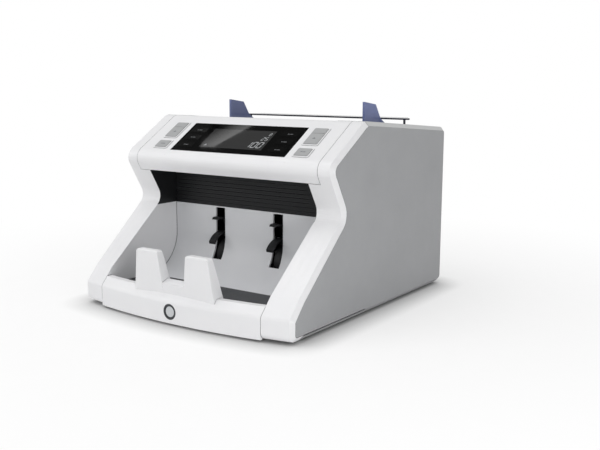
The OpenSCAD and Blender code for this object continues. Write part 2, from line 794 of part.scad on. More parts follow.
// Rack teeth along X, pointing up in y from the pitch line at y = 0, one tooth space at x = 0
module rack_teeth(x0, x1) {
    pitch = PI * rack_module;
    half_t = pitch / 4 - backlash;
    first = ceil(x0 / pitch - 0.5);
    last = floor(x1 / pitch - 0.5);
    for (i = [first:last]) translate([(i + 0.5) * pitch, 0]) polygon([
        [-half_t - root * tan(20), -root - eps], [half_t + root * tan(20), -root - eps],
        [half_t - rack_module * tan(20), rack_module * 0.9], [-half_t + rack_module * tan(20), rack_module * 0.9]
    ]);
}
backlash = 0.12;

// One moulded guide: fin, stem and rack. far is how far the rack reaches past the middle.
module guide(stem_low_y, rack_dir) {
    far = guide_travel + 6;
    across(-guide_x - guide_t / 2, -guide_x + guide_t / 2) guide_fin();
    translate([-guide_x - guide_t / 2, stem_low_y, rack_z]) cube([guide_t, rack_w, bed_z(stem_low_y) - rack_z + 1]);
    translate([-guide_x - guide_t / 2, stem_low_y, rack_z]) cube([guide_x + far, rack_w, rack_h]);
    translate([0, pinion_y - rack_dir * pitch_r, rack_z]) linear_extrude(rack_h)
        mirror([0, rack_dir < 0 ? 1 : 0]) rack_teeth(-guide_x / 2, far - 2);
}

module guide_left() {
    color(SMOKE) in_frame() guide(front_rack_y, 1);
}

module guide_right() {
    color(SMOKE) in_frame() mirror([1, 0, 0]) guide(rear_rack_y, -1);
}

// Involute gear drawn around the origin, with one tooth centred on +x
function involute(base, t) = [
    base * (cos(t) + t * PI / 180 * sin(t)),
    base * (sin(t) - t * PI / 180 * cos(t))
];
function turn(p, a) = [p[0] * cos(a) - p[1] * sin(a), p[0] * sin(a) + p[1] * cos(a)];
function roll_at(base, r) = sqrt(max(0, (r / base) * (r / base) - 1)) * 180 / PI;

function tooth(m, z, slack, steps = 4) = let (
    pitch = m * z / 2,
    base = pitch * cos(20),
    tip = pitch + 0.9 * m,
    low = pitch - 1.25 * m,
    start = max(base, low),
    p = involute(base, roll_at(base, pitch)),
    half = 90 / z - slack / pitch * 180 / PI + atan2(p[1], p[0]),
    t0 = roll_at(base, start),
    t1 = roll_at(base, tip),
    flank = [for (i = [0:steps]) turn(involute(base, t0 + (t1 - t0) * i / steps), -half)]
) concat([low < start ? turn([low, 0], -half) : flank[0]], flank);

module gear(m, z, w, bore, slack = 0.08) {
    side = tooth(m, z, slack);
    n = len(side);
    points = [for (k = [0:z - 1]) each concat(
        [for (i = [0:n - 1]) turn(side[i], k * 360 / z)],
        [for (i = [n - 1:-1:0]) turn([side[i][0], -side[i][1]], k * 360 / z)]
    )];
    difference() {
        linear_extrude(w) polygon(points);
        if (bore > 0) translate([0, 0, -1]) cylinder(r = bore, h = w + 2);
    }
}

// Turn of a driven gear that brings it into mesh: both gears and the angle from the first to the second
function mesh(first_turn, first_z, second_z, a) =
    a + 180 + 180 / second_z - first_z / second_z * (first_turn - a);

module gear_on(axle, x, m, z, w, bore, a) {
    translate([x, axle[0], axle[1]]) rotate([90, 0, 90]) rotate(a) gear(m, z, w, bore);
}

module guide_pinion() {
    // a tooth of the pinion points at each rack's space
    color("#d8d4c6") in_frame() translate([0, pinion_y, rack_z]) rotate(-90) gear(rack_module, pinion_teeth, rack_h, 2.5 + run, backlash);
}

// Smoked support plate on two thin stems that slide in the top cover
support_z = top_z(stem_y) + 5.2;
module note_support() {
    color(SMOKE) in_frame() {
        translate([0, 0, support_z]) linear_extrude(1.6) polygon([
            [-stem_x - 7, stem_y - 2], [-stem_x - 4, stem_y - 5], [stem_x + 4, stem_y - 5], [stem_x + 7, stem_y - 2],
            [stem_x - 6, stem_y + 18], [-stem_x + 6, stem_y + 18]
        ]);
        both_sides() translate([stem_x, stem_y, support_z - 46]) cylinder(r = stem_r, h = 46 + eps);
    }
}

// Steel frame plates with a hole for every bush
bushes = [[feed_axle, shaft_r], [pickup_axle, shaft_r], [pressure_axle, shaft_r - 0.5], [stacker_axle, shaft_r]];
rods = [
    [plate_front_y + 10, base_z + 14], [feed_axle[0] + 26, base_z + 14], [plate_rear_y - 14, base_z + 22],
    [plate_rear_y - 14, bed_front_z - 6], [feed_axle[0] + 50, bed_front_z - 30]
];
rod_r = 3;

module frame_plate(side) {
    difference() {
        union() {
            across(plate_x, plate_x + plate_t) polygon([
                [plate_front_y, base_z + 2.6], [plate_front_y, console_bottom_z - 3], [console_back_y + 3, console_bottom_z],
                [console_back_y + 3, top_z(console_back_y + 3) - wall - 1],
                [hopper_rear_y - 4, top_z(hopper_rear_y) - wall - 1],
                [plate_rear_y, bed_front_z + 14], [plate_rear_y, base_z + 2.6]
            ]);
            if (side > 0) bar(idler_axle, shaft_r, plate_x, gear_x + gear_w + 1);
        }
        for (b = bushes) bar(b[0], bush_r, plate_x - 1, plate_x + plate_t + 1);
        // bolt holes of the motors' faces
        if (side > 0) bar(stacker_motor_axle, stacker_boss_r, plate_x - 1, plate_x + plate_t + 1);
        else bar(main_motor_axle, main_boss_r, plate_x - 1, plate_x + plate_t + 1);
    }
}

module frame_plates() {
    color("#4a4c50") in_frame() {
        frame_plate(1);
        mirror([1, 0, 0]) frame_plate(-1);
    }
}

module tie_rods() {
    color(STEEL) in_frame() for (r = rods) bar(r, rod_r, -plate_x, plate_x);
}

module shaft_bushes() {
    color("#c9a25a") in_frame() both_sides() for (b = bushes) difference() {
        union() {
            bar(b[0], bush_r - 0.02, plate_x, plate_x + plate_t + 1);
            bar(b[0], bush_r + 1.5, plate_x + plate_t, plate_x + plate_t + 1);
        }
        bar(b[0], b[1] + run, plate_x - 1, plate_x + plate_t + 2);
    }
}

// Rollers of one shaft: pairs of tubes at the given places
module roller_row(axle, r, bore, places, w) both_sides() for (x = places) difference() {
    bar(axle, r, x - w / 2, x + w / 2);
    bar(axle, bore, x - w / 2 - 1, x + w / 2 + 1);
}

feed_x = [22, 62];
feed_w = 14;
press = 0.02;
module feed_shaft() {
    color(STEEL) in_frame() bar(feed_axle, shaft_r, -shaft_end, shaft_end);
}

module feed_rollers() {
    color(RUBBER) in_frame() difference() {
        roller_row(feed_axle, feed_r, shaft_r + press, feed_x, feed_w);
        // grip grooves in the tread
        both_sides() for (x = feed_x, dx = [-3.5, 0, 3.5]) difference() {
            bar(feed_axle, feed_r + 1, x + dx - 0.5, x + dx + 0.5);
            bar(feed_axle, feed_r - 0.8, x + dx - 1, x + dx + 1);
        }
    }
}

pickup_x = 28;
pickup_w = 16;
module pickup_shaft() {
    color(STEEL) in_frame() bar(pickup_axle, shaft_r, -plate_x - plate_t - 3, shaft_end);
}

module pickup_rollers() {
    color(RUBBER) in_frame() difference() {
        roller_row(pickup_axle, pickup_r, shaft_r + press, [pickup_x], pickup_w);
        // flats of the tread that let the notes rest between two pushes
        for (a = [0:30:330]) translate([0, pickup_axle[0], pickup_axle[1]]) rotate([a, 0, 0])
            translate([-50, -0.6, pickup_r - 0.8]) cube([100, 1.2, 2]);
    }
}

module pressure_rollers() {
    color("#55585c") in_frame() {
        bar(pressure_axle, shaft_r - 0.5, -plate_x - plate_t - 3, plate_x + plate_t + 3);
        both_sides() for (x = feed_x) bar(pressure_axle, pressure_r, x - 5, x + 5);
    }
}

module stacker_shaft() {
    color(STEEL) in_frame() bar(stacker_axle, shaft_r, -plate_x - plate_t - 3, shaft_end);
}

// Stacker wheel: a hub with curved vanes that catch one note each
module stacker_wheel() {
    hub_r = 9;
    vane_r = stacker_r * 0.62;
    vane_t = 1.6;
    difference() {
        linear_extrude(wheel_w) intersection() {
            circle(r = stacker_r, $fn = 96);
            union() {
                circle(r = hub_r);
                for (k = [0:vanes - 1]) rotate(k * 360 / vanes) translate([0, vane_r + 2]) difference() {
                    circle(r = vane_r);
                    circle(r = vane_r - vane_t);
                    translate([-2 * vane_r, -vane_r]) square([2 * vane_r, 3 * vane_r]);
                    translate([-vane_r, 0.35 * vane_r]) square(3 * vane_r);
                }
            }
        }
        translate([0, 0, -1]) cylinder(r = shaft_r + press, h = wheel_w + 2);
    }
}

module stacker_wheels() {
    color(BLACK) in_frame() for (x = [-wheel_x, wheel_x])
        translate([x - wheel_w / 2, stacker_axle[0], stacker_axle[1]]) rotate([90, 0, 90]) stacker_wheel();
}

// Black wall between console and hopper, leaning back to the feed gap
wall_top_y = console_back_y + 2.5;
wall_foot = [feed_axle[0] - 7, feed_axle[1] + 24];
wall_up = unit([wall_top_y, top_z(wall_top_y) - 1.5] - wall_foot);
wall_normal = [-wall_up[1], wall_up[0]];
module hopper_front_wall() {
    t = 2.5;
    color(BLACK) in_frame() across(-inner_x, inner_x) polygon([
        [wall_top_y, top_z(wall_top_y) - 1.5], [wall_top_y + t, top_z(wall_top_y) - 1.5],
        [wall_foot[0] + t, wall_foot[1]], [wall_foot[0], wall_foot[1]]
    ]);
}

// Sector of a ring around an axle, drawn as [y, z]
module ring_sector(axle, r0, r1, a0, a1) translate(axle) intersection() {
    difference() {
        circle(r = r1, $fn = 96);
        circle(r = r0, $fn = 96);
    }
    polygon([[0, 0], 3 * r1 * [cos(a0), sin(a0)], 3 * r1 * [cos((a0 + a1) / 2), sin((a0 + a1) / 2)], 3 * r1 * [cos(a1), sin(a1)]]);
}

// Separator above the feed rollers: bracket and rubber pads
pad_a0 = 84;
pad_a1 = 112;
pad_t = 2.4;
module separator_bracket() {
    color(STEEL) in_frame() {
        across(-inner_x, inner_x) ring_sector(feed_axle, feed_r + 1 + pad_t, feed_r + 3 + pad_t, pad_a0, pad_a1);
        // flange along the front of the hopper's wall
        across(-inner_x, inner_x) polygon([
            wall_foot + 0.3 * wall_normal - 3 * wall_up, wall_foot + 2.3 * wall_normal - 2 * wall_up,
            wall_foot + 2.3 * wall_normal + 14 * wall_up, wall_foot + 0.3 * wall_normal + 14 * wall_up
        ]);
    }
}

module separator_pads() {
    color(RUBBER) in_frame() both_sides() across(feed_x[0] - feed_w / 2, feed_x[0] + feed_w / 2)
        ring_sector(feed_axle, feed_r + note_gap, feed_r + 0.9 + pad_t, pad_a0 + 2, pad_a1 - 2);
}

// Black curved guide that leads the notes down the front of the feed rollers
module path_guide() {
    color(BLACK) in_frame() across(-inner_x, inner_x) ring_sector(feed_axle, feed_r + 2, feed_r + 3.8, 182, 246);
}

// Knurled knob for the feed gap in its well
module gap_knob() {
    color(DARK) in_frame() translate([0, knob_y, well_floor_z + 0.3]) {
        difference() {
            cylinder(r = knob_r, h = 6);
            for (k = [0:23]) rotate(k * 15) translate([knob_r + 0.3, 0, -1]) cylinder(r = 0.8, h = 9, $fn = 8);
            translate([-0.8, 1, 5.2]) cube([1.6, knob_r, 2]);
        }
        translate([0, 0, -14]) cylinder(r = shaft_r, h = 14 + eps);
    }
}

// Motors with their bearing bosses, which sit in the frame plates
module motor(axle, r, len, hole_r) {
    boss_r = hole_r - 0.1;
    bore = 1.5 + run;
    difference() {
        union() {
            bar(axle, r, plate_x - len, plate_x - 0.1);
            bar(axle, r * 0.55, plate_x - len - motor_tail, plate_x - len + eps);
            bar(axle, boss_r, plate_x - 0.2, plate_x + plate_t);
        }
        bar(axle, bore, plate_x - 12, plate_x + plate_t + 1);
    }
}

module main_motor() {
    color("#7d8084") in_frame() mirror([1, 0, 0])
        motor(main_motor_axle, main_motor_r, main_motor_len, main_boss_r);
}

module stacker_motor() {
    color("#7d8084") in_frame() motor(stacker_motor_axle, stacker_motor_r, stacker_motor_len, stacker_boss_r);
}

// Flat-belt pulley with two flanges, from x0 along X
module pulley(axle, r, x0, bore) difference() {
    union() {
        bar(axle, r, x0, x0 + belt_w + 3);
        bar(axle, r + 2.2, x0, x0 + 1);
        bar(axle, r + 2.2, x0 + belt_w + 2, x0 + belt_w + 3);
    }
    if (bore > 0) bar(axle, bore, x0 - 1, x0 + belt_w + 4);
}

module motor_pulley() {
    color(BLACK) in_frame() {
        pulley(main_motor_axle, motor_pulley_r, pulley_x - belt_w - 3, 0);
        bar(main_motor_axle, 1.5, pulley_x - eps, -plate_x + 10);
    }
}

module feed_pulley() {
    color(BLACK) in_frame() pulley(feed_axle, feed_pulley_r, pulley_x - belt_w - 3, shaft_r + press);
}

module main_belt() {
    slack = 0.3;
    belt_t = 1.4;
    color(RUBBER) in_frame() across(pulley_x - belt_w - 1.5 + 0.2, pulley_x - 1.5 - 0.2) difference() {
        belt_loop(slack + belt_t);
        belt_loop(slack);
    }
}

// Outline of the belt at a distance from both pulleys, drawn as [y, z]
module belt_loop(grow) hull() {
    translate(main_motor_axle) circle(r = motor_pulley_r + grow);
    translate(feed_axle) circle(r = feed_pulley_r + grow);
}

// Gear train on the right: feed shaft, idler, pickup shaft
feed_turn = 0;
idler_turn = mesh(feed_turn, feed_teeth, idler_teeth, idler_a);
pickup_turn = mesh(idler_turn, idler_teeth, pickup_teeth, pickup_a);

module feed_gear() {
    color("#d8d4c6") in_frame() gear_on(feed_axle, gear_x, gear_module, feed_teeth, gear_w, shaft_r + press, feed_turn);
}

module idler_gear() {
    color("#d8d4c6") in_frame() gear_on(idler_axle, gear_x, gear_module, idler_teeth, gear_w, shaft_r + run, idler_turn);
}

module pickup_gear() {
    color("#d8d4c6") in_frame() gear_on(pickup_axle, gear_x, gear_module, pickup_teeth, gear_w, shaft_r + press, pickup_turn);
}

module stacker_gear() {
    color("#d8d4c6") in_frame() gear_on(stacker_axle, stacker_gear_x, gear_module, stacker_teeth, gear_w, shaft_r + press, 0);
}

module stacker_pinion() {
    color("#d8d4c6") in_frame() {
        translate([stacker_gear_x, stacker_motor_axle[0], stacker_motor_axle[1]]) rotate([90, 0, 90])
            rotate(mesh(0, stacker_teeth, motor_teeth, stacker_motor_angle)) gear(gear_module, motor_teeth, gear_w, 0);
        bar(stacker_motor_axle, 1.5, plate_x - 10, stacker_gear_x + gear_w);
    }
}

// Main board behind the mechanism, on the rear cover's bosses
board_y = rear_y - wall - 10.4;
module main_board() {
    color(BOARD) in_frame() {
        translate([board_left, board_y - 1.6, 20]) cube([board_right - board_left, 1.6, 76]);
        color("#20242a") {
            translate([-20, board_y - 3.6, 50]) cube([20, 2 + eps, 20]);
            translate([-60, board_y - 4.6, 30]) cube([14, 3 + eps, 10]);
        }
        for (x = [-74, -60, 10]) translate([x, board_y - 1.6 + eps, 80]) rotate([90, 0, 0]) cylinder(r = 5, h = 11);
        translate([14, board_y - 12, 26]) cube([20, 10.4 + eps, 30]);
    }
}

// Data and printer sockets on the back of the main board
module rear_ports() {
    color(DARK) in_frame() difference() {
        translate([port_x - 14.6, board_y, port_z - 6.6]) cube([29.2, rear_y - board_y - 0.4, 13.2]);
        translate([port_x - 12, rear_y - 9, port_z - 4]) cube([11, 10, 8]);
        translate([port_x + 4, rear_y - 7, port_z - 1.5]) cube([8, 10, 3]);
    }
}

// Mains inlet with three blades
module power_inlet() {
    color(BLACK) in_frame() {
        difference() {
            union() {
                translate([inlet_x - 15.8, rear_y - 1.6, inlet_z - 12.3]) cube([31.6, 1.5, 24.6]);
                translate([inlet_x - 13.8, rear_y - 20, inlet_z - 10.3]) cube([27.6, 18.4 + eps, 20.6]);
            }
            translate([inlet_x, rear_y + 5, inlet_z]) rotate([90, 0, 0]) linear_extrude(20) polygon([
                [-12, -8.3], [12, -8.3], [12, 4], [7.5, 8.3], [-7.5, 8.3], [-12, 4]
            ]);
        }
        for (p = [[-7, -2], [7, -2], [0, 3]]) translate([inlet_x + p[0] - 1, rear_y - 15 - eps, inlet_z + p[1] - 2])
            cube([2, 12, 4]);
    }
}

// Rocker of the power switch, turned to one side at rest
rocker_tilt = 7;
rocker_axle = [rear_y - 6.5, rocker_z];
module rocker_shape() polygon([[-3.5, -3.2], [-3.5, 3.2], [1.6, 5], [4.6, 4.6], [3.2, 0], [4.6, -4.6], [1.6, -5]]);
module power_rocker() {
    color(BLACK) in_frame() across(inlet_x - 8.3, inlet_x + 8.3)
        translate(rocker_axle) rotate(-rocker_tilt) rocker_shape();
}

base_pan();
rubber_feet();
left_cheek();
right_cheek();
left_side_cover();
right_side_cover();
console_panel();
front_lip();
badge();
top_cover();
rear_cover();
hopper_bed();
hopper_front_wall();
display_window();
display_glass();
keypad_board();
pocket_plate();
pocket_back_wall();
guide_left();
guide_right();
guide_pinion();
note_support();
frame_plates();
tie_rods();
shaft_bushes();
feed_shaft();
feed_rollers();
pickup_shaft();
pickup_rollers();
pressure_rollers();
stacker_shaft();
stacker_wheels();
separator_bracket();
separator_pads();
path_guide();
gap_knob();
main_motor();
motor_pulley();
feed_pulley();
main_belt();
feed_gear();
idler_gear();
pickup_gear();
stacker_motor();
stacker_pinion();
stacker_gear();
main_board();
rear_ports();
power_inlet();
power_rocker();
window_key(-1, 2);  // window_key_left_top
window_key(-1, 1);  // window_key_left_middle
window_key(-1, 0);  // window_key_left_bottom
window_key(1, 2);  // window_key_right_top
window_key(1, 1);  // window_key_right_middle
window_key(1, 0);  // window_key_right_bottom
tall_key(-1);  // tall_key_left
small_key(-1);  // small_key_left
tall_key(1);  // tall_key_right
small_key(1);  // small_key_right
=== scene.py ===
# Looks of a table-top banknote counter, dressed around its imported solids.
# All lengths are metres in the part's frame: x to the right, y to the back, z up.
import math

import bmesh
import bpy
from mathutils import Matrix, Vector


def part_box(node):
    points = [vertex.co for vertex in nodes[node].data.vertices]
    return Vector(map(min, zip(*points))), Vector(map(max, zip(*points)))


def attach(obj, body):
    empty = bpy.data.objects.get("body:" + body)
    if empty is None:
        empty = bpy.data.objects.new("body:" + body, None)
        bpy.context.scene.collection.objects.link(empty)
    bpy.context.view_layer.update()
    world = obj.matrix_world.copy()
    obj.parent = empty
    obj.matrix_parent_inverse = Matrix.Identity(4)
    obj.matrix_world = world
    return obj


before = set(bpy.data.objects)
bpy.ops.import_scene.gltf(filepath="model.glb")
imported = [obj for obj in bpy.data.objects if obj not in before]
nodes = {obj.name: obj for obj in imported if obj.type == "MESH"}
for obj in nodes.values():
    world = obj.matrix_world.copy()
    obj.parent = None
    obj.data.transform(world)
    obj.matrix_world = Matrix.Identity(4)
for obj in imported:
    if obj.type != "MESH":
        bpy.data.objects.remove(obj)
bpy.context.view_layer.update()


# Camera: a long lens at desk height, in front of the right corner, as the
# photograph was taken. The turns were fitted to the edges of the housing.
azimuth = math.radians(34.78)
elevation = math.radians(9.79)
roll = math.radians(0.21)
station = (0.5029, -0.6676, 0.2153)
focal_pixels = 831.0
picture_pixels = 600.0
lens = bpy.data.cameras.new("camera")
lens.sensor_width = 36.0
lens.lens = focal_pixels * lens.sensor_width / picture_pixels
lens.clip_start = 0.01
camera = bpy.data.objects.new("camera", lens)
bpy.context.scene.collection.objects.link(camera)
back = Vector((
    math.sin(azimuth) * math.cos(elevation),
    -math.cos(azimuth) * math.cos(elevation),
    math.sin(elevation),
))
right = Vector((0.0, 0.0, 1.0)).cross(back).normalized()
turned = Matrix((right, back.cross(right), back)).transposed() @ Matrix.Rotation(roll, 3, "Z")
camera.matrix_world = Matrix.Translation(station) @ turned.to_4x4()
bpy.context.scene.camera = camera
bpy.context.scene.view_settings.view_transform = "Standard"


# Studio: white surroundings with a wide soft box overhead, a narrower one to
# the left and a low one to the right, on a table top that turns white away
# from the machine and keeps its shadow, deepened by a painted contact shadow.
def linear(code):
    """Turns an sRGB hex value into a linear colour."""
    parts = [int(code[i:i + 2], 16) / 255.0 for i in (1, 3, 5)]
    return tuple(p / 12.92 if p <= 0.04045 else ((p + 0.055) / 1.055) ** 2.4 for p in parts) + (1.0,)


def add(tree, kind, settings=None, links=None):
    """Adds a node: settings go to its attributes or inputs, links to its inputs."""
    made = tree.nodes.new(kind)
    for key, value in (settings or {}).items():
        if isinstance(key, int) or key in made.inputs:
            made.inputs[key].default_value = value
        else:
            setattr(made, key, value)
    for key, source in (links or {}).items():
        tree.links.new(source, made.inputs[key])
    return made


def empty_material(name):
    """New material whose tree has no nodes yet."""
    made = bpy.data.materials.new(name)
    made.use_nodes = True
    made.node_tree.nodes.clear()
    return made


def new_object(name, grown, *materials):
    """Makes an object from a bmesh, with its place in its mesh."""
    mesh = bpy.data.meshes.new(name)
    grown.to_mesh(mesh)
    grown.free()
    for material in materials:
        mesh.materials.append(material)
    made = bpy.data.objects.new(name, mesh)
    bpy.context.scene.collection.objects.link(made)
    return made


# Matt surfaces get an even level of light, and mirrors see less of it overhead
white_light = (1.0, 1.0, 1.0, 1.0)
even_level = 0.62
studio = bpy.data.worlds.new("studio")
studio.use_nodes = True
sky = studio.node_tree
sky.nodes.clear()
ray = add(sky, "ShaderNodeLightPath")
direction = add(sky, "ShaderNodeTexCoord")
overhead = add(sky, "ShaderNodeSeparateXYZ", {}, {0: direction.outputs["Generated"]})
fade = add(sky, "ShaderNodeMapRange", {"From Min": 0.25, "From Max": 0.7, "To Min": 1.0, "To Max": 0.05},
           {"Value": overhead.outputs["Z"]})
mirrored = add(sky, "ShaderNodeMix", {"data_type": "FLOAT", 2: even_level},
               {0: ray.outputs["Is Glossy Ray"], 3: fade.outputs["Result"]})
seen = add(sky, "ShaderNodeMath", {"operation": "MAXIMUM"},
           {0: ray.outputs["Is Camera Ray"], 1: ray.outputs["Is Transmission Ray"]})
level = add(sky, "ShaderNodeMix", {"data_type": "FLOAT", 3: 1.0},
            {0: seen.outputs[0], 2: mirrored.outputs[0]})
glow = add(sky, "ShaderNodeBackground", {"Color": white_light}, {"Strength": level.outputs[0]})
add(sky, "ShaderNodeOutputWorld", {}, {"Surface": glow.outputs[0]})
bpy.context.scene.world = studio

aim = Vector((0.0, 0.0, 0.08))
for name, spot, width, power in (
    ("soft_box_top", (-0.35, -0.35, 1.5), 1.3, 10.0),
    ("soft_box_left", (-1.1, -0.9, 0.7), 0.8, 3.0),
    ("soft_box_low", (0.62, -0.42, 0.07), 0.3, 1.3),
):
    lamp = bpy.data.lights.new(name, "AREA")
    lamp.energy = power
    lamp.size = width
    holder = bpy.data.objects.new(name, lamp)
    bpy.context.scene.collection.objects.link(holder)
    holder.location = spot
    holder.rotation_euler = (aim - Vector(spot)).to_track_quat("-Z", "Y").to_euler()

table_reach = 12.0
painted_shadow_power = 1.6
table_paint = empty_material("table_paint")
tree = table_paint.node_tree
place = add(tree, "ShaderNodeTexCoord")
distance = add(tree, "ShaderNodeVectorMath", {"operation": "LENGTH"}, {0: place.outputs["Object"]})
far = add(tree, "ShaderNodeMapRange",
          {"interpolation_type": "SMOOTHSTEP",
           "From Min": 0.15, "From Max": 0.6, "To Min": 0.6, "To Max": 1.0},
          {"Value": distance.outputs["Value"]})
ray = add(tree, "ShaderNodeLightPath")
blend = add(tree, "ShaderNodeMath", {"operation": "MULTIPLY"},
            {0: far.outputs["Result"], 1: ray.outputs["Is Camera Ray"]})
fleck = add(tree, "ShaderNodeTexNoise", {"Scale": 40.0, "Detail": 2.0}, {"Vector": place.outputs["Object"]})
tint = add(tree, "ShaderNodeMix", {"data_type": "RGBA", 6: linear("#f6f6f6"), 7: linear("#f2f2f2")},
           {0: fleck.outputs[0]})
paint = add(tree, "ShaderNodeBsdfPrincipled", {"Roughness": 0.7}, {"Base Color": tint.outputs[2]})
# Painted contact shadow: ambient occlusion dims the table's glow for the camera near the machine
contact = add(tree, "ShaderNodeAmbientOcclusion", {"samples": 24, "Distance": 0.03})
shade = add(tree, "ShaderNodeMath", {"operation": "POWER", 1: painted_shadow_power}, {0: contact.outputs["AO"]})
lit = add(tree, "ShaderNodeEmission", {"Color": white_light}, {"Strength": shade.outputs[0]})
both = add(tree, "ShaderNodeMixShader", {}, {0: blend.outputs[0], 1: paint.outputs[0], 2: lit.outputs[0]})
add(tree, "ShaderNodeOutputMaterial", {}, {"Surface": both.outputs[0]})
grown = bmesh.new()
bmesh.ops.create_grid(grown, x_segments=8, y_segments=8, size=table_reach)
new_object("table_top", grown, table_paint)


# White card high on the left, which only the polished window mirrors: its
# straight edge gives the sheen that crosses the display, and its light fades
# away from that edge.
edge_across = (-0.4013, 0.6705, -0.6238)
bright_edge, dark_edge = -0.1354, -0.1074
card_corners = (
    (-0.6747, 0.3056, 0.9795),
    (-0.7433, 0.2341, 0.9468),
    (-0.7677, 0.2232, 0.9294),
    (-0.7466, 0.2836, 0.9242),
)
card_paint = empty_material("card_paint")
tree = card_paint.node_tree
place = add(tree, "ShaderNodeTexCoord")
across = add(tree, "ShaderNodeVectorMath", {"operation": "DOT_PRODUCT", 1: edge_across},
             {0: place.outputs["Object"]})
fade = add(tree, "ShaderNodeMapRange",
           {"From Min": bright_edge, "From Max": dark_edge, "To Min": 1.5, "To Max": 0.0},
           {"Value": across.outputs["Value"]})
ray = add(tree, "ShaderNodeLightPath")
strength = add(tree, "ShaderNodeMath", {"operation": "MULTIPLY"},
               {0: fade.outputs["Result"], 1: ray.outputs["Is Glossy Ray"]})
lit = add(tree, "ShaderNodeEmission", {"Color": white_light}, {"Strength": strength.outputs[0]})
clear = add(tree, "ShaderNodeBsdfTransparent")
both = add(tree, "ShaderNodeMixShader", {},
           {0: ray.outputs["Is Glossy Ray"], 1: clear.outputs[0], 2: lit.outputs[0]})
add(tree, "ShaderNodeOutputMaterial", {}, {"Surface": both.outputs[0]})
grown = bmesh.new()
grown.faces.new([grown.verts.new(spot) for spot in card_corners])
bmesh.ops.subdivide_edges(grown, edges=grown.edges, cuts=2, use_grid_fill=True)
new_object("white_card", grown, card_paint)


# Base pan: charcoal ABS from a textured mould, with the pocket's floor deck.
# Moulded plastic has an even eroded grain, faint clouding and a soft gloss.
def moulded_plastic(name, colour, shade, grain, rough, depth, joints=0.0, shine=0.5):
    """Moulded plastic: size and depth of its grain and reach of the painted shade in its joints, in metres.
    """
    cloud_share, speck_share = 0.6, 0.5
    made = empty_material(name)
    tree = made.node_tree
    place = add(tree, "ShaderNodeTexCoord")
    cloud = add(tree, "ShaderNodeTexNoise", {"Scale": 22.0, "Detail": 4.0, "Roughness": 0.6},
                {"Vector": place.outputs["Object"]})
    speck = add(tree, "ShaderNodeTexNoise", {"Scale": 1.0 / grain, "Detail": 2.0, "Roughness": 0.55},
                {"Vector": place.outputs["Object"]})
    blotch = add(tree, "ShaderNodeMapRange", {"From Min": 0.3, "From Max": 0.7},
                 {"Value": cloud.outputs[0]})
    mottle = add(tree, "ShaderNodeMath", {"operation": "MULTIPLY", 1: speck_share}, {0: speck.outputs[0]})
    amount = add(tree, "ShaderNodeMath", {"operation": "MULTIPLY_ADD", 1: cloud_share, "use_clamp": True},
                 {0: blotch.outputs[0], 2: mottle.outputs[0]})
    tint = add(tree, "ShaderNodeMix", {"data_type": "RGBA", 6: linear(colour), 7: linear(shade)},
               {0: amount.outputs[0]})
    # Painted shade: ambient occlusion darkens the colour in joints, gaps and creases, where shade falls
    if joints:
        open_side = add(tree, "ShaderNodeAmbientOcclusion", {"samples": 12, "Distance": joints})
        dust_and_painted_shade = add(tree, "ShaderNodeMapRange",
                   {"From Min": 0.45, "From Max": 0.85, "To Min": 0.75, "To Max": 0.0},
                   {"Value": open_side.outputs["AO"]})
        tint = add(tree, "ShaderNodeMix", {"data_type": "RGBA", 7: linear("#26272a")},
                   {0: dust_and_painted_shade.outputs[0], 6: tint.outputs[2]})
    gloss = add(tree, "ShaderNodeMapRange", {"To Min": rough - 0.06, "To Max": rough + 0.06},
                {"Value": cloud.outputs[0]})
    bump = add(tree, "ShaderNodeBump", {"Strength": 0.6, "Distance": depth},
               {"Height": speck.outputs[0]})
    skin = add(tree, "ShaderNodeBsdfPrincipled", {"IOR": 1.5, "Specular IOR Level": shine},
               {"Base Color": tint.outputs[2], "Roughness": gloss.outputs[0], "Normal": bump.outputs[0]})
    add(tree, "ShaderNodeOutputMaterial", {}, {"Surface": skin.outputs[0]})
    return made


def finish(material, *names):
    """Gives the material to the solids of these names."""
    for name in names:
        for slot in nodes[name].material_slots:
            slot.material = material


charcoal_abs = moulded_plastic("charcoal_abs", "#3d3f42", "#333538", grain=0.0009, rough=0.5, depth=0.00012)
finish(charcoal_abs, "base_pan")


# Rubber feet: four nitrile pads, matt and slightly dusty, pressed on the pan
# over a pan-head screw that shows in the hole of each foot. Six larger screws
# of zinc-plated steel hold the pan itself.
foot_rubber = moulded_plastic("foot_rubber", "#2b2b2c", "#383837", grain=0.0012, rough=0.82, depth=0.00025)
finish(foot_rubber, "rubber_feet")


def turned_steel(name, colour, shade, rough, lines, stretch=(1.0, 1.0, 1.0)):
    """Machined or drawn steel: distance between its lines in metres; a stretch below 1 draws them out."""
    made = empty_material(name)
    tree = made.node_tree
    place = add(tree, "ShaderNodeTexCoord")
    drawn = add(tree, "ShaderNodeMapping", {"Scale": stretch}, {"Vector": place.outputs["Object"]})
    streak = add(tree, "ShaderNodeTexNoise", {"Scale": 1.0 / lines, "Detail": 3.0},
                 {"Vector": drawn.outputs[0]})
    tint = add(tree, "ShaderNodeMix", {"data_type": "RGBA", 6: linear(colour), 7: linear(shade)},
               {0: streak.outputs[0]})
    gloss = add(tree, "ShaderNodeMapRange", {"To Min": rough - 0.08, "To Max": rough + 0.08},
                {"Value": streak.outputs[0]})
    bump = add(tree, "ShaderNodeBump", {"Strength": 0.3, "Distance": 0.00003}, {"Height": streak.outputs[0]})
    skin = add(tree, "ShaderNodeBsdfPrincipled", {"Metallic": 1.0},
               {"Base Color": tint.outputs[2], "Roughness": gloss.outputs[0], "Normal": bump.outputs[0]})
    add(tree, "ShaderNodeOutputMaterial", {}, {"Surface": skin.outputs[0]})
    return made


zinc_steel = turned_steel("zinc_steel", "#b9bcc0", "#9a9da2", rough=0.32, lines=0.0006)
recess_shade = turned_steel("recess_shade", "#2e2f31", "#3a3b3e", rough=0.5, lines=0.0006)


def new_piece(name, grown, body, slot, *materials):
    """Makes a piece that rides on a body; slot, the record's finish, is not used."""
    made = new_object(name, grown, *materials)
    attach(made, body)
    return made


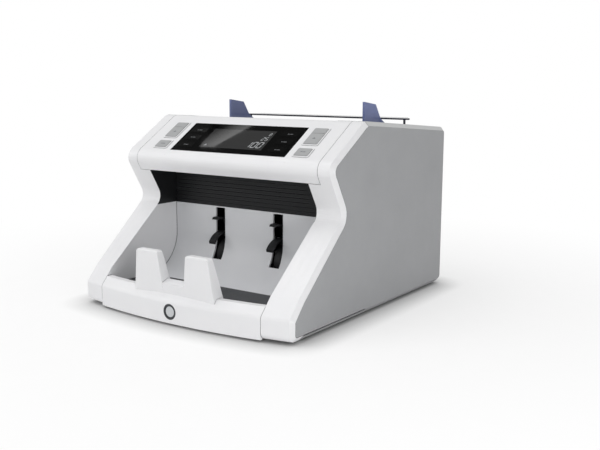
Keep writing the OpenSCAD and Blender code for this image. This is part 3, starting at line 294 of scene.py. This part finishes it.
def faces_round(verts):
    """Faces that touch the vertices, each once and always in the same order."""
    return list(dict.fromkeys(face for vert in verts for face in vert.link_faces))


def screw_head(grown, place, radius, height):
    """Adds a domed head with a cross recess; place turns its z axis outwards."""
    edge, crown = height * 0.55, height * 0.45
    blade_size = (radius * 1.1, radius * 0.24, height * 0.12)
    made = bmesh.new()
    bmesh.ops.create_circle(made, cap_ends=True, radius=radius, segments=24)
    side = bmesh.ops.extrude_face_region(made, geom=made.faces[:])
    top = [v for v in side["geom"] if isinstance(v, bmesh.types.BMVert)]
    bmesh.ops.translate(made, verts=top, vec=(0.0, 0.0, edge))
    cap = [f for f in made.faces if all(v in top for v in f.verts)]
    dome = bmesh.ops.extrude_face_region(made, geom=cap)
    dome_verts = [v for v in dome["geom"] if isinstance(v, bmesh.types.BMVert)]
    bmesh.ops.delete(made, geom=cap, context="FACES")
    bmesh.ops.scale(made, verts=dome_verts, vec=(0.72, 0.72, 1.0))
    bmesh.ops.translate(made, verts=dome_verts, vec=(0.0, 0.0, crown))
    # The cross recess is not cut: two thin dark bars on the dome stand for the painted shade in it
    for turn in (0.0, math.pi / 2.0):
        blade = bmesh.ops.create_cube(made, size=1.0)["verts"]
        bmesh.ops.scale(made, verts=blade, vec=blade_size)
        bmesh.ops.rotate(made, verts=blade, cent=(0.0, 0.0, 0.0), matrix=Matrix.Rotation(turn, 3, "Z"))
        bmesh.ops.translate(made, verts=blade, vec=(0.0, 0.0, height * 0.97))
        for face in faces_round(blade):
            face.material_index = 1
    bmesh.ops.recalc_face_normals(made, faces=made.faces)
    made.transform(place)
    mesh = bpy.data.meshes.new("head")
    made.to_mesh(mesh)
    made.free()
    grown.from_mesh(mesh)
    bpy.data.meshes.remove(mesh)


# Heads look down, out of the pan
face_down = Matrix.Rotation(math.pi, 4, "X")
foot_radius = 0.009
foot_screw_z = 0.00095
feet_low, feet_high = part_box("rubber_feet")
pan_low, pan_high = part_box("base_pan")
pan_rows = (pan_low.y + 0.03, pan_high.y - 0.008)
grown = bmesh.new()
for x in (feet_low.x + foot_radius, feet_high.x - foot_radius):
    for y in (feet_low.y + foot_radius, feet_high.y - foot_radius):
        screw_head(grown, Matrix.Translation((x, y, foot_screw_z)) @ face_down, radius=0.0024, height=0.0008)
for x in (-0.066, 0.0, 0.066):
    for y in pan_rows:
        screw_head(grown, Matrix.Translation((x, y, pan_low.z)) @ face_down, radius=0.003, height=0.0016)
new_piece("pan_screws", grown, "housing", "shaft_steel", zinc_steel, recess_shade)


# Inner frame: two zinc-plated and blackened steel plates, with bronze bushes
# for the ground steel shafts, and ground rods that tie the plates together.
plated_steel = turned_steel("plated_steel", "#55585c", "#44474b", rough=0.42, lines=0.004)
finish(plated_steel, "frame_plates")
ground_steel = turned_steel("ground_steel", "#c3c6ca", "#aeb2b7", rough=0.2, lines=0.0004,
                            stretch=(1.0, 0.08, 0.08))
finish(ground_steel, "feed_shaft", "pickup_shaft", "stacker_shaft", "tie_rods", "separator_bracket")
bronze = turned_steel("sintered_bronze", "#b98f52", "#a17a43", rough=0.38, lines=0.0005)
finish(bronze, "shaft_bushes")


# Motors and pressure rollers: drawn and turned steel, plated, with the fine
# rings that the tool leaves.
motor_can = turned_steel("motor_can", "#85888c", "#74777b", rough=0.3, lines=0.0005, stretch=(0.1, 1.0, 1.0))
finish(motor_can, "main_motor", "stacker_motor", "pressure_rollers")


# Rollers, pads and belt: moulded rubber, ground to size, so the skin is matt
# with a fine scuffed grain.
roller_rubber = moulded_plastic("roller_rubber", "#242425", "#2f2f30", grain=0.0006, rough=0.72,
                                depth=0.00015)
finish(roller_rubber, "feed_rollers", "pickup_rollers", "separator_pads", "main_belt")


# Gears: natural acetal, ivory and waxy, moulded in one piece and pressed on
# their shafts.
acetal = moulded_plastic("natural_acetal", "#dcd8ca", "#d3cfc0", grain=0.0015, rough=0.34, depth=0.00003)
finish(acetal, "feed_gear", "idler_gear", "pickup_gear", "stacker_gear", "stacker_pinion", "guide_pinion")


# Boards: glass-epoxy laminate under green solder mask, with copper tracks
# that show as paler lines. On the front of the main board stand black chips
# and capacitors and a plug socket of natural nylon.
laminate_thickness = 0.0017
main_board_from_y = 0.1
socket_from_x = 0.012
socket_below_z = 0.06
laminate_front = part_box("main_board")[1].y - laminate_thickness
solder_mask = empty_material("solder_mask")
tree = solder_mask.node_tree
place = add(tree, "ShaderNodeTexCoord")
tracks = add(tree, "ShaderNodeTexBrick",
             {"Scale": 1.0, "Mortar Size": 0.0002, "Brick Width": 0.009, "Row Height": 0.0023,
              "Color1": linear("#1c6640"), "Color2": linear("#1f6d45"), "Mortar": linear("#3b8a5c")},
             {"Vector": place.outputs["Object"]})
axes = add(tree, "ShaderNodeSeparateXYZ", {}, {0: place.outputs["Object"]})
before = add(tree, "ShaderNodeMath", {"operation": "LESS_THAN", 1: laminate_front}, {0: axes.outputs["Y"]})
behind = add(tree, "ShaderNodeMath", {"operation": "GREATER_THAN", 1: main_board_from_y},
             {0: axes.outputs["Y"]})
fitted = add(tree, "ShaderNodeMath", {"operation": "MULTIPLY"}, {0: before.outputs[0], 1: behind.outputs[0]})
beside = add(tree, "ShaderNodeMath", {"operation": "GREATER_THAN", 1: socket_from_x}, {0: axes.outputs["X"]})
low_down = add(tree, "ShaderNodeMath", {"operation": "LESS_THAN", 1: socket_below_z}, {0: axes.outputs["Z"]})
nylon = add(tree, "ShaderNodeMath", {"operation": "MULTIPLY"}, {0: beside.outputs[0], 1: low_down.outputs[0]})
fitting_tint = add(tree, "ShaderNodeMix", {"data_type": "RGBA", 6: linear("#1c1e21"), 7: linear("#dcd8cc")},
                   {0: nylon.outputs[0]})
board_tint = add(tree, "ShaderNodeMix", {"data_type": "RGBA"},
                 {0: fitted.outputs[0], 6: tracks.outputs["Color"], 7: fitting_tint.outputs[2]})
weave = add(tree, "ShaderNodeTexNoise", {"Scale": 1500.0, "Detail": 2.0}, {"Vector": place.outputs["Object"]})
gloss = add(tree, "ShaderNodeMapRange", {"To Min": 0.2, "To Max": 0.35}, {"Value": weave.outputs[0]})
bump = add(tree, "ShaderNodeBump", {"Strength": 0.4, "Distance": 0.00004}, {"Height": tracks.outputs["Fac"]})
skin = add(tree, "ShaderNodeBsdfPrincipled", {"IOR": 1.5},
           {"Base Color": board_tint.outputs[2], "Roughness": gloss.outputs[0], "Normal": bump.outputs[0]})
add(tree, "ShaderNodeOutputMaterial", {}, {"Surface": skin.outputs[0]})
finish(solder_mask, "main_board", "keypad_board")


# Pocket: a pale curved plate of ABS below a black wall with fine ribs, both
# moulded and held between the cheeks.
deep_black = "#141517"
pale_abs = moulded_plastic("pale_abs", "#dadbdd", "#d4d5d8", grain=0.0008, rough=0.4, depth=0.00008)
finish(pale_abs, "pocket_plate")
black_abs = moulded_plastic("black_abs", deep_black, "#1b1c1e", grain=0.0008, rough=0.5, depth=0.0001,
                            shine=0.25)
finish(black_abs, "pocket_back_wall")


# Hopper, path guide, vaned wheels and pulleys: the same black ABS, moulded
# with a dull grain that keeps reflections down.
finish(black_abs, "hopper_bed", "hopper_front_wall", "path_guide", "stacker_wheels", "motor_pulley",
       "feed_pulley")


# Gap knob and sockets at the rear: mains inlet and power rocker of the black
# ABS, knob and port housings of the pan's charcoal, moulded and snapped in.
finish(black_abs, "power_inlet", "power_rocker")
finish(charcoal_abs, "gap_knob", "rear_ports")


# Front lip and console: white ABS, eroded to a fine satin that leaves the
# slopes bright and the upright faces a shade darker.
housing_white, housing_shade = "#e5e5e6", "#e0e0e2"
# Its joints and creases carry painted shade, darker where ambient occlusion finds them closed in
white_abs = moulded_plastic("white_abs", housing_white, housing_shade, grain=0.0007, rough=0.38,
                            depth=0.00006, joints=0.0012)
finish(white_abs, "front_lip", "console_panel")


# Cheeks: the same white ABS, with painted shade reaching a little further into
# their joints. Their inner walls are black down to the foot of the pocket's back wall.
def recolour(material, mask, colour):
    """Mixes a colour into a plastic where the mask is 1."""
    tree = material.node_tree
    skin = next(node for node in tree.nodes if node.type == "BSDF_PRINCIPLED")
    mixed = add(tree, "ShaderNodeMix", {"data_type": "RGBA", 7: linear(colour)},
                {0: mask, 6: skin.inputs["Base Color"].links[0].from_socket})
    tree.links.new(mixed.outputs[2], skin.inputs["Base Color"])


inner_wall_to_x = 0.0963
black_from_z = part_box("pocket_back_wall")[0].z
cheek_abs = moulded_plastic("cheek_abs", housing_white, housing_shade, grain=0.0007, rough=0.38,
                            depth=0.00006, joints=0.0018)
tree = cheek_abs.node_tree
axes = add(tree, "ShaderNodeSeparateXYZ", {}, {0: add(tree, "ShaderNodeTexCoord").outputs["Object"]})
off_centre = add(tree, "ShaderNodeMath", {"operation": "ABSOLUTE"}, {0: axes.outputs["X"]})
inner = add(tree, "ShaderNodeMath", {"operation": "LESS_THAN", 1: inner_wall_to_x},
            {0: off_centre.outputs[0]})
upper = add(tree, "ShaderNodeMath", {"operation": "GREATER_THAN", 1: black_from_z}, {0: axes.outputs["Z"]})
inner_wall = add(tree, "ShaderNodeMath", {"operation": "MULTIPLY"},
                 {0: inner.outputs[0], 1: upper.outputs[0]})
recolour(cheek_abs, inner_wall.outputs[0], deep_black)
finish(cheek_abs, "left_cheek", "right_cheek")


# Side covers, top cover and rear cover: mid-grey ABS with a coarser leather
# grain, which hides the marks of carrying the machine about. The top and the
# bevels that lead up to it are a paler grey.
pale_grey = "#c3c4c4"
# Both greys take painted shade in their joints and creases, from ambient occlusion
grey_abs = moulded_plastic("grey_abs", "#9fa0a2", "#97989a", grain=0.0011, rough=0.42, depth=0.0001,
                           joints=0.0012)
tree = grey_abs.node_tree
facing = add(tree, "ShaderNodeSeparateXYZ", {},
             {0: add(tree, "ShaderNodeNewGeometry").outputs["True Normal"]})
bevel = add(tree, "ShaderNodeMapRange", {"From Min": 0.25, "From Max": 0.4}, {"Value": facing.outputs["Z"]})
recolour(grey_abs, bevel.outputs[0], pale_grey)
finish(grey_abs, "left_side_cover", "right_side_cover", "rear_cover")
pale_grey_abs = moulded_plastic("pale_grey_abs", pale_grey, "#bcbdbe", grain=0.0011, rough=0.42, depth=0.0001,
                                joints=0.0012)
finish(pale_grey_abs, "top_cover")


# Badge: a dark ring round a plain brushed disc of coated metal, set flush
# into the lip. The disc carries nothing.
badge_low, badge_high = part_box("badge")
badge_mid = (badge_low + badge_high) / 2.0
badge_radius = (badge_high.x - badge_low.x) / 2.0
ring_width = 0.0022
ring_edge = 0.0003
badge_metal = empty_material("badge_metal")
tree = badge_metal.node_tree
place = add(tree, "ShaderNodeTexCoord")
centred = add(tree, "ShaderNodeMapping",
              {"Location": (-badge_mid.x, 0.0, -badge_mid.z), "Scale": (1.0, 0.0, 1.0)},
              {"Vector": place.outputs["Object"]})
span = add(tree, "ShaderNodeVectorMath", {"operation": "LENGTH"}, {0: centred.outputs[0]})
ring = add(tree, "ShaderNodeMapRange",
           {"From Min": badge_radius - ring_width - ring_edge, "From Max": badge_radius - ring_width},
           {"Value": span.outputs["Value"]})
brushed = add(tree, "ShaderNodeMapping", {"Scale": (0.05, 1.0, 1.0)}, {"Vector": place.outputs["Object"]})
streak = add(tree, "ShaderNodeTexNoise", {"Scale": 2500.0, "Detail": 2.0}, {"Vector": brushed.outputs[0]})
disc = add(tree, "ShaderNodeMix", {"data_type": "RGBA", 6: linear("#d0d2d4"), 7: linear("#b8babd")},
           {0: streak.outputs[0]})
tint = add(tree, "ShaderNodeMix", {"data_type": "RGBA", 7: linear("#3f4144")},
           {0: ring.outputs[0], 6: disc.outputs[2]})
gloss = add(tree, "ShaderNodeMapRange", {"To Min": 0.3, "To Max": 0.45}, {"Value": streak.outputs[0]})
skin = add(tree, "ShaderNodeBsdfPrincipled", {"Metallic": 0.6},
           {"Base Color": tint.outputs[2], "Roughness": gloss.outputs[0]})
add(tree, "ShaderNodeOutputMaterial", {}, {"Surface": skin.outputs[0]})
finish(badge_metal, "badge")


# Display window: black polycarbonate, polished, printed from behind, so that
# it reads as a deep black mirror with hardly any texture.
def gloss_plastic(name, colour, shade, rough, dust_and_painted_shade):
    """Polished plastic: clean gloss with faint wiping marks."""
    made = empty_material(name)
    tree = made.node_tree
    place = add(tree, "ShaderNodeTexCoord")
    wiped = add(tree, "ShaderNodeMapping", {"Scale": (1.0, 3.0, 3.0), "Rotation": (0.0, 0.3, 0.4)},
                {"Vector": place.outputs["Object"]})
    smear = add(tree, "ShaderNodeTexNoise", {"Scale": 60.0, "Detail": 5.0, "Distortion": 0.4},
                {"Vector": wiped.outputs[0]})
    tint = add(tree, "ShaderNodeMix", {"data_type": "RGBA", 6: linear(colour), 7: linear(shade)},
               {0: smear.outputs[0]})
    gloss = add(tree, "ShaderNodeMapRange",
                {"From Min": 0.35, "From Max": 0.75, "To Min": rough, "To Max": rough + dust_and_painted_shade},
                {"Value": smear.outputs[0]})
    skin = add(tree, "ShaderNodeBsdfPrincipled", {"IOR": 1.46},
               {"Base Color": tint.outputs[2], "Roughness": gloss.outputs[0]})
    add(tree, "ShaderNodeOutputMaterial", {}, {"Surface": skin.outputs[0]})
    return made


window_black = gloss_plastic("window_black", "#070707", "#090909", rough=0.03, dust_and_painted_shade=0.03)
finish(window_black, "display_window")
display_grey = gloss_plastic("display_grey", "#343434", "#373737", rough=0.02, dust_and_painted_shade=0.02)
finish(display_grey, "display_glass")


# Keys: six of the window's black plastic, a little duller, and four of
# satin grey ABS beside it. Each is moulded on its own and springs back up.
window_key_levels = {"bottom": 0.0218, "middle": 0.0341, "top": 0.0464}
key_black = gloss_plastic("key_black", "#080808", "#0b0b0b", rough=0.1, dust_and_painted_shade=0.05)
for row in window_key_levels:
    finish(key_black, "window_key_left_" + row, "window_key_right_" + row)
key_grey = moulded_plastic("key_grey", "#a6a7a8", "#a0a1a2", grain=0.0006, rough=0.42, depth=0.00005)
finish(key_grey, "tall_key_left", "tall_key_right", "small_key_left", "small_key_right")


# Marks on the window and the keys: light or dark ink, pad-printed a few
# hundredths of a millimetre thick, and drawn here as plain bars and numbers.
def printed_ink(name, colour, shade):
    """Pad-printed ink: matt, thin at its edges and unevenly laid."""
    made = empty_material(name)
    tree = made.node_tree
    place = add(tree, "ShaderNodeTexCoord")
    uneven = add(tree, "ShaderNodeTexNoise", {"Scale": 1200.0, "Detail": 3.0},
                 {"Vector": place.outputs["Object"]})
    tint = add(tree, "ShaderNodeMix", {"data_type": "RGBA", 6: linear(colour), 7: linear(shade)},
               {0: uneven.outputs[0]})
    gloss = add(tree, "ShaderNodeMapRange", {"To Min": 0.45, "To Max": 0.7}, {"Value": uneven.outputs[0]})
    skin = add(tree, "ShaderNodeBsdfPrincipled", {"IOR": 1.48},
               {"Base Color": tint.outputs[2], "Roughness": gloss.outputs[0]})
    add(tree, "ShaderNodeOutputMaterial", {}, {"Surface": skin.outputs[0]})
    return made


light_ink = printed_ink("light_ink", "#b9bbbd", "#8f9193")
faint_ink = printed_ink("faint_ink", "#6f7173", "#4f5153")
dark_ink = printed_ink("dark_ink", "#6b6d70", "#7a7c7f")
ink_thickness = 0.00006


def printed_bar(grown, place, spot, length, width, turn=0.0, tip=0.0):
    """Adds a bar of ink; spot is its middle on place's plane, tip the length of its pointed ends."""
    made = bmesh.ops.create_circle(grown, cap_ends=True, radius=1.0, segments=6,
                                   matrix=Matrix.Rotation(math.pi / 2.0, 4, "Z"))["verts"]
    for vert in made:
        pointed = abs(vert.co.y) < 0.1
        reach = length / 2.0 - (0.0 if pointed else tip)
        vert.co = Vector((math.copysign(reach, vert.co.x), math.copysign(width / 2.0, vert.co.y), 0.0))
        vert.co.y = 0.0 if pointed else vert.co.y
    skin = bmesh.ops.extrude_face_region(grown, geom=faces_round(made))
    raised = [v for v in skin["geom"] if isinstance(v, bmesh.types.BMVert)]
    bmesh.ops.translate(grown, verts=raised, vec=(0.0, 0.0, ink_thickness))
    bar = made + raised
    bmesh.ops.recalc_face_normals(grown, faces=faces_round(bar))
    local = Matrix.Translation((spot[0], spot[1], 0.0)) @ Matrix.Rotation(turn, 4, "Z")
    bmesh.ops.transform(grown, matrix=place @ local, verts=bar)


def printed_number(grown, place, spot, text, height):
    """Adds a number in seven-bar figures; spot is the lower right corner of its last figure."""
    lit = {"0": "abcdef", "1": "bc", "2": "abdeg", "5": "acdfg", "8": "abcdefg"}
    width = height * 0.52
    pitch = height * 0.78
    ink = height * 0.11
    slant = 0.16
    half = height / 2.0
    bars = {
        "a": (0.0, height, 0.0), "b": (width / 2.0, half * 1.5, 1.0), "c": (width / 2.0, half * 0.5, 1.0),
        "d": (0.0, 0.0, 0.0), "e": (-width / 2.0, half * 0.5, 1.0), "f": (-width / 2.0, half * 1.5, 1.0),
        "g": (0.0, half, 0.0),
    }
    lean = Matrix.Identity(4)
    lean[0][1] = slant
    for step, figure in enumerate(reversed(text)):
        foot = Matrix.Translation((spot[0] - width / 2.0 - step * pitch, spot[1], 0.0))
        for name in lit[figure]:
            x, y, upright = bars[name]
            length = (half if upright else width) - ink * 0.35
            printed_bar(grown, place @ foot @ lean, (x, y), length, ink, upright * math.pi / 2.0, ink / 2.0)


# The console's face, from its lower edge: x to the right, y up the slope
console_run, console_rise = 61.0, 38.0
console_foot = (0.0, -0.0785, 0.1425)
slope = math.atan2(console_rise, console_run)
console_face = Matrix.Translation(console_foot) @ Matrix.Rotation(slope, 4, "X")

grown = bmesh.new()
for spot, text, height in (
    ((0.0335, 0.0232), "100", 0.0085),
    ((0.0345, 0.0348), "25", 0.005),
    ((0.0345, 0.0428), "8", 0.0038),
):
    printed_number(grown, console_face, spot, text, height)
for step in range(3):
    spot = (-0.0318, 0.0228 + step * 0.0009)
    printed_bar(grown, console_face, spot, length=0.0034 - step * 0.001, width=0.0005)
new_piece("display_figures", grown, "housing", "white_plastic", light_ink)

sides = (("left", -1.0), ("right", 1.0))
window_key_x = 0.0555
window_key_top = console_face @ Matrix.Translation((0.0, 0.0, 0.0003))
for side, turn in sides:
    for row, level in window_key_levels.items():
        grown = bmesh.new()
        for step, length in enumerate((0.0011, 0.0008, 0.0013, 0.0009)):
            spot = (turn * window_key_x - 0.0024 + step * 0.0016, level)
            printed_bar(grown, window_key_top, spot, length, width=0.0011)
        body = "window_key_%s_%s" % (side, row)
        new_piece("legend_" + body, grown, body, "pale_plastic", faint_ink)

grey_key_x = 0.085
grey_key_top = console_face @ Matrix.Translation((0.0, 0.0, 0.0011))
tall_key_level, small_key_level = 0.0405, 0.0203
for side, turn in sides:
    grown = bmesh.new()
    for step in range(4):
        spot = (turn * grey_key_x, tall_key_level + step * 0.0005)
        printed_bar(grown, grey_key_top, spot, length=0.0034 - step * 0.0008, width=0.0005)
    new_piece("mark_tall_key_" + side, grown, "tall_key_" + side, "dark_plastic", dark_ink)
    grown = bmesh.new()
    for step, length in enumerate((0.0014, 0.001, 0.0015)):
        spot = (turn * grey_key_x - 0.0018 + step * 0.0018, small_key_level)
        printed_bar(grown, grey_key_top, spot, length, width=0.0013)
    new_piece("mark_small_key_" + side, grown, "small_key_" + side, "dark_plastic", dark_ink)


# Scale round the gap knob, with a minus and a plus: black ink printed on the
# top cover, long and short ticks in turn.
def seat(name, start, heading, up):
    """Matrix where a ray meets a solid: z outwards, y towards up."""
    spot, normal = nodes[name].ray_cast(Vector(start), Vector(heading))[1:3]
    side = Vector(up).cross(normal).normalized()
    return Matrix.Translation(spot) @ Matrix((side, normal.cross(side), normal)).transposed().to_4x4()


bpy.context.view_layer.update()
knob_low, knob_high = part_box("gap_knob")
knob_y = (knob_low.y + knob_high.y) / 2.0
beside_knob = 0.02
ring_radius = 0.0119
sign_x = 0.0165
scale_face = seat("top_cover", (beside_knob, knob_y, 0.3), (0.0, 0.0, -1.0), (0.0, 1.0, 0.0))
scale_face = scale_face @ Matrix.Translation((-beside_knob, 0.0, 0.0))
black_ink = printed_ink("black_ink", "#2b2c2e", "#3a3b3d")
grown = bmesh.new()
for step in range(-4, 5):
    angle = math.radians(30.0 * step + 90.0)
    length = 0.0007 if step % 2 else 0.0012
    reach = ring_radius + length / 2.0
    printed_bar(grown, scale_face, (reach * math.cos(angle), reach * math.sin(angle)), length, 0.0005, angle)
for side, turn in ((-1.0, 0.0), (1.0, 0.0), (1.0, math.pi / 2.0)):
    printed_bar(grown, scale_face, (side * sign_x, 0.0), length=0.003, width=0.0006, turn=turn)
new_piece("gap_scale", grown, "housing", "dark_plastic", black_ink)


# Marks on the power rocker: a bar on the half that switches it on, and a ring
# on the other, both printed in the light ink.
rocker_low, rocker_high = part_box("power_rocker")
rocker_spot = (rocker_low + rocker_high) / 2.0
mark_offset = 0.0024
circle_radius = 0.0009
behind_all = 0.3
forwards = (0.0, -1.0, 0.0)
upright = (0.0, 0.0, 1.0)
on_face, off_face = (
    seat("power_rocker", (rocker_spot.x, behind_all, rocker_spot.z + lift), forwards, upright)
    for lift in (mark_offset, -mark_offset)
)
grown = bmesh.new()
printed_bar(grown, on_face, (0.0, 0.0), length=0.0024, width=0.0005, turn=math.pi / 2.0)
for step in range(12):
    angle = math.radians(30.0 * step)
    spot = (circle_radius * math.cos(angle), circle_radius * math.sin(angle))
    printed_bar(grown, off_face, spot, length=0.00055, width=0.00035, turn=angle + math.pi / 2.0)
new_piece("rocker_marks", grown, "power_rocker", "white_plastic", light_ink)


# Screws of the rear cover: five countersunk heads of zinc-plated steel, sunk
# so that hardly more than the cross shows.
screw_spots = ((-0.11, 0.152), (0.11, 0.152), (-0.11, 0.02), (0.11, 0.02), (0.0, 0.02))
sunk = Matrix.Translation((0.0, 0.0, -0.00026))
grown = bmesh.new()
for x, z in screw_spots:
    hole = seat("rear_cover", (x, behind_all, z), forwards, upright)
    screw_head(grown, hole @ sunk, radius=0.004, height=0.0003)
new_piece("cover_screws", grown, "housing", "shaft_steel", zinc_steel, recess_shade)


# Contacts in the two rear ports: sprung gilt wires in the square jack, and a
# black tongue with gilt strips in the flat one.
def wire_between(grown, start, end, radius=0.00022):
    """Adds a thin eight-sided wire with closed ends."""
    start = Vector(start)
    along = Vector(end) - start
    turn = along.to_track_quat("Z", "Y").to_matrix().to_4x4()
    bmesh.ops.create_cone(grown, cap_ends=True, segments=8, radius1=radius, radius2=radius,
                          depth=along.length, matrix=Matrix.Translation(start + along / 2.0) @ turn)


gilt = turned_steel("gilt_contacts", "#d9b25c", "#c79c46", rough=0.25, lines=0.0005)
jack_x, jack_pitch = -0.0501, 0.00103
strip_x, strip_pitch = -0.0341, 0.0014
strip_z = 0.03462
grown = bmesh.new()
for step in range(8):
    x = jack_x + step * jack_pitch
    wire_between(grown, (x, 0.1374, 0.0344), (x, 0.1445, 0.0371))
for step in range(4):
    x = strip_x + step * strip_pitch
    wire_between(grown, (x, 0.1392, strip_z), (x, 0.1448, strip_z))
new_piece("port_contacts", grown, "housing", "bronze", gilt)

tongue_size = (0.0062, 0.0062, 0.0011)
tongue_spot = (-0.032, 0.1422, 0.034)
grown = bmesh.new()
tongue = bmesh.ops.create_cube(grown, size=1.0)["verts"]
bmesh.ops.scale(grown, verts=tongue, vec=tongue_size)
bmesh.ops.translate(grown, verts=tongue, vec=tongue_spot)
bmesh.ops.bevel(grown, geom=grown.edges[:], offset=0.0003, offset_type="OFFSET", segments=2, profile=0.5,
                affect="EDGES", material=-1)
new_piece("port_tongue", grown, "housing", "black_plastic", black_abs)


# Note guides: smoked blue polycarbonate, moulded clear and polished, so that
# a little light runs through their faces.
smoked_plastic = empty_material("smoked_plastic")
tree = smoked_plastic.node_tree
place = add(tree, "ShaderNodeTexCoord")
swirl = add(tree, "ShaderNodeTexNoise", {"Scale": 45.0, "Detail": 3.0, "Distortion": 0.6},
            {"Vector": place.outputs["Object"]})
tint = add(tree, "ShaderNodeMix", {"data_type": "RGBA", 6: linear("#7681b0"), 7: linear("#808bb8")},
           {0: swirl.outputs[0]})
gloss = add(tree, "ShaderNodeMapRange", {"To Min": 0.08, "To Max": 0.16}, {"Value": swirl.outputs[0]})
skin = add(tree, "ShaderNodeBsdfPrincipled", {"IOR": 1.45, "Transmission Weight": 0.15},
           {"Base Color": tint.outputs[2], "Roughness": gloss.outputs[0]})
add(tree, "ShaderNodeOutputMaterial", {}, {"Surface": skin.outputs[0]})
finish(smoked_plastic, "guide_left", "guide_right")


# Note support: a thin polished plate on two stems, of the same smoked
# plastic, which reads nearly black edge on.
support_smoke = gloss_plastic("support_smoke", "#1d1f29", "#252836", rough=0.12, dust_and_painted_shade=0.06)
finish(support_smoke, "note_support")
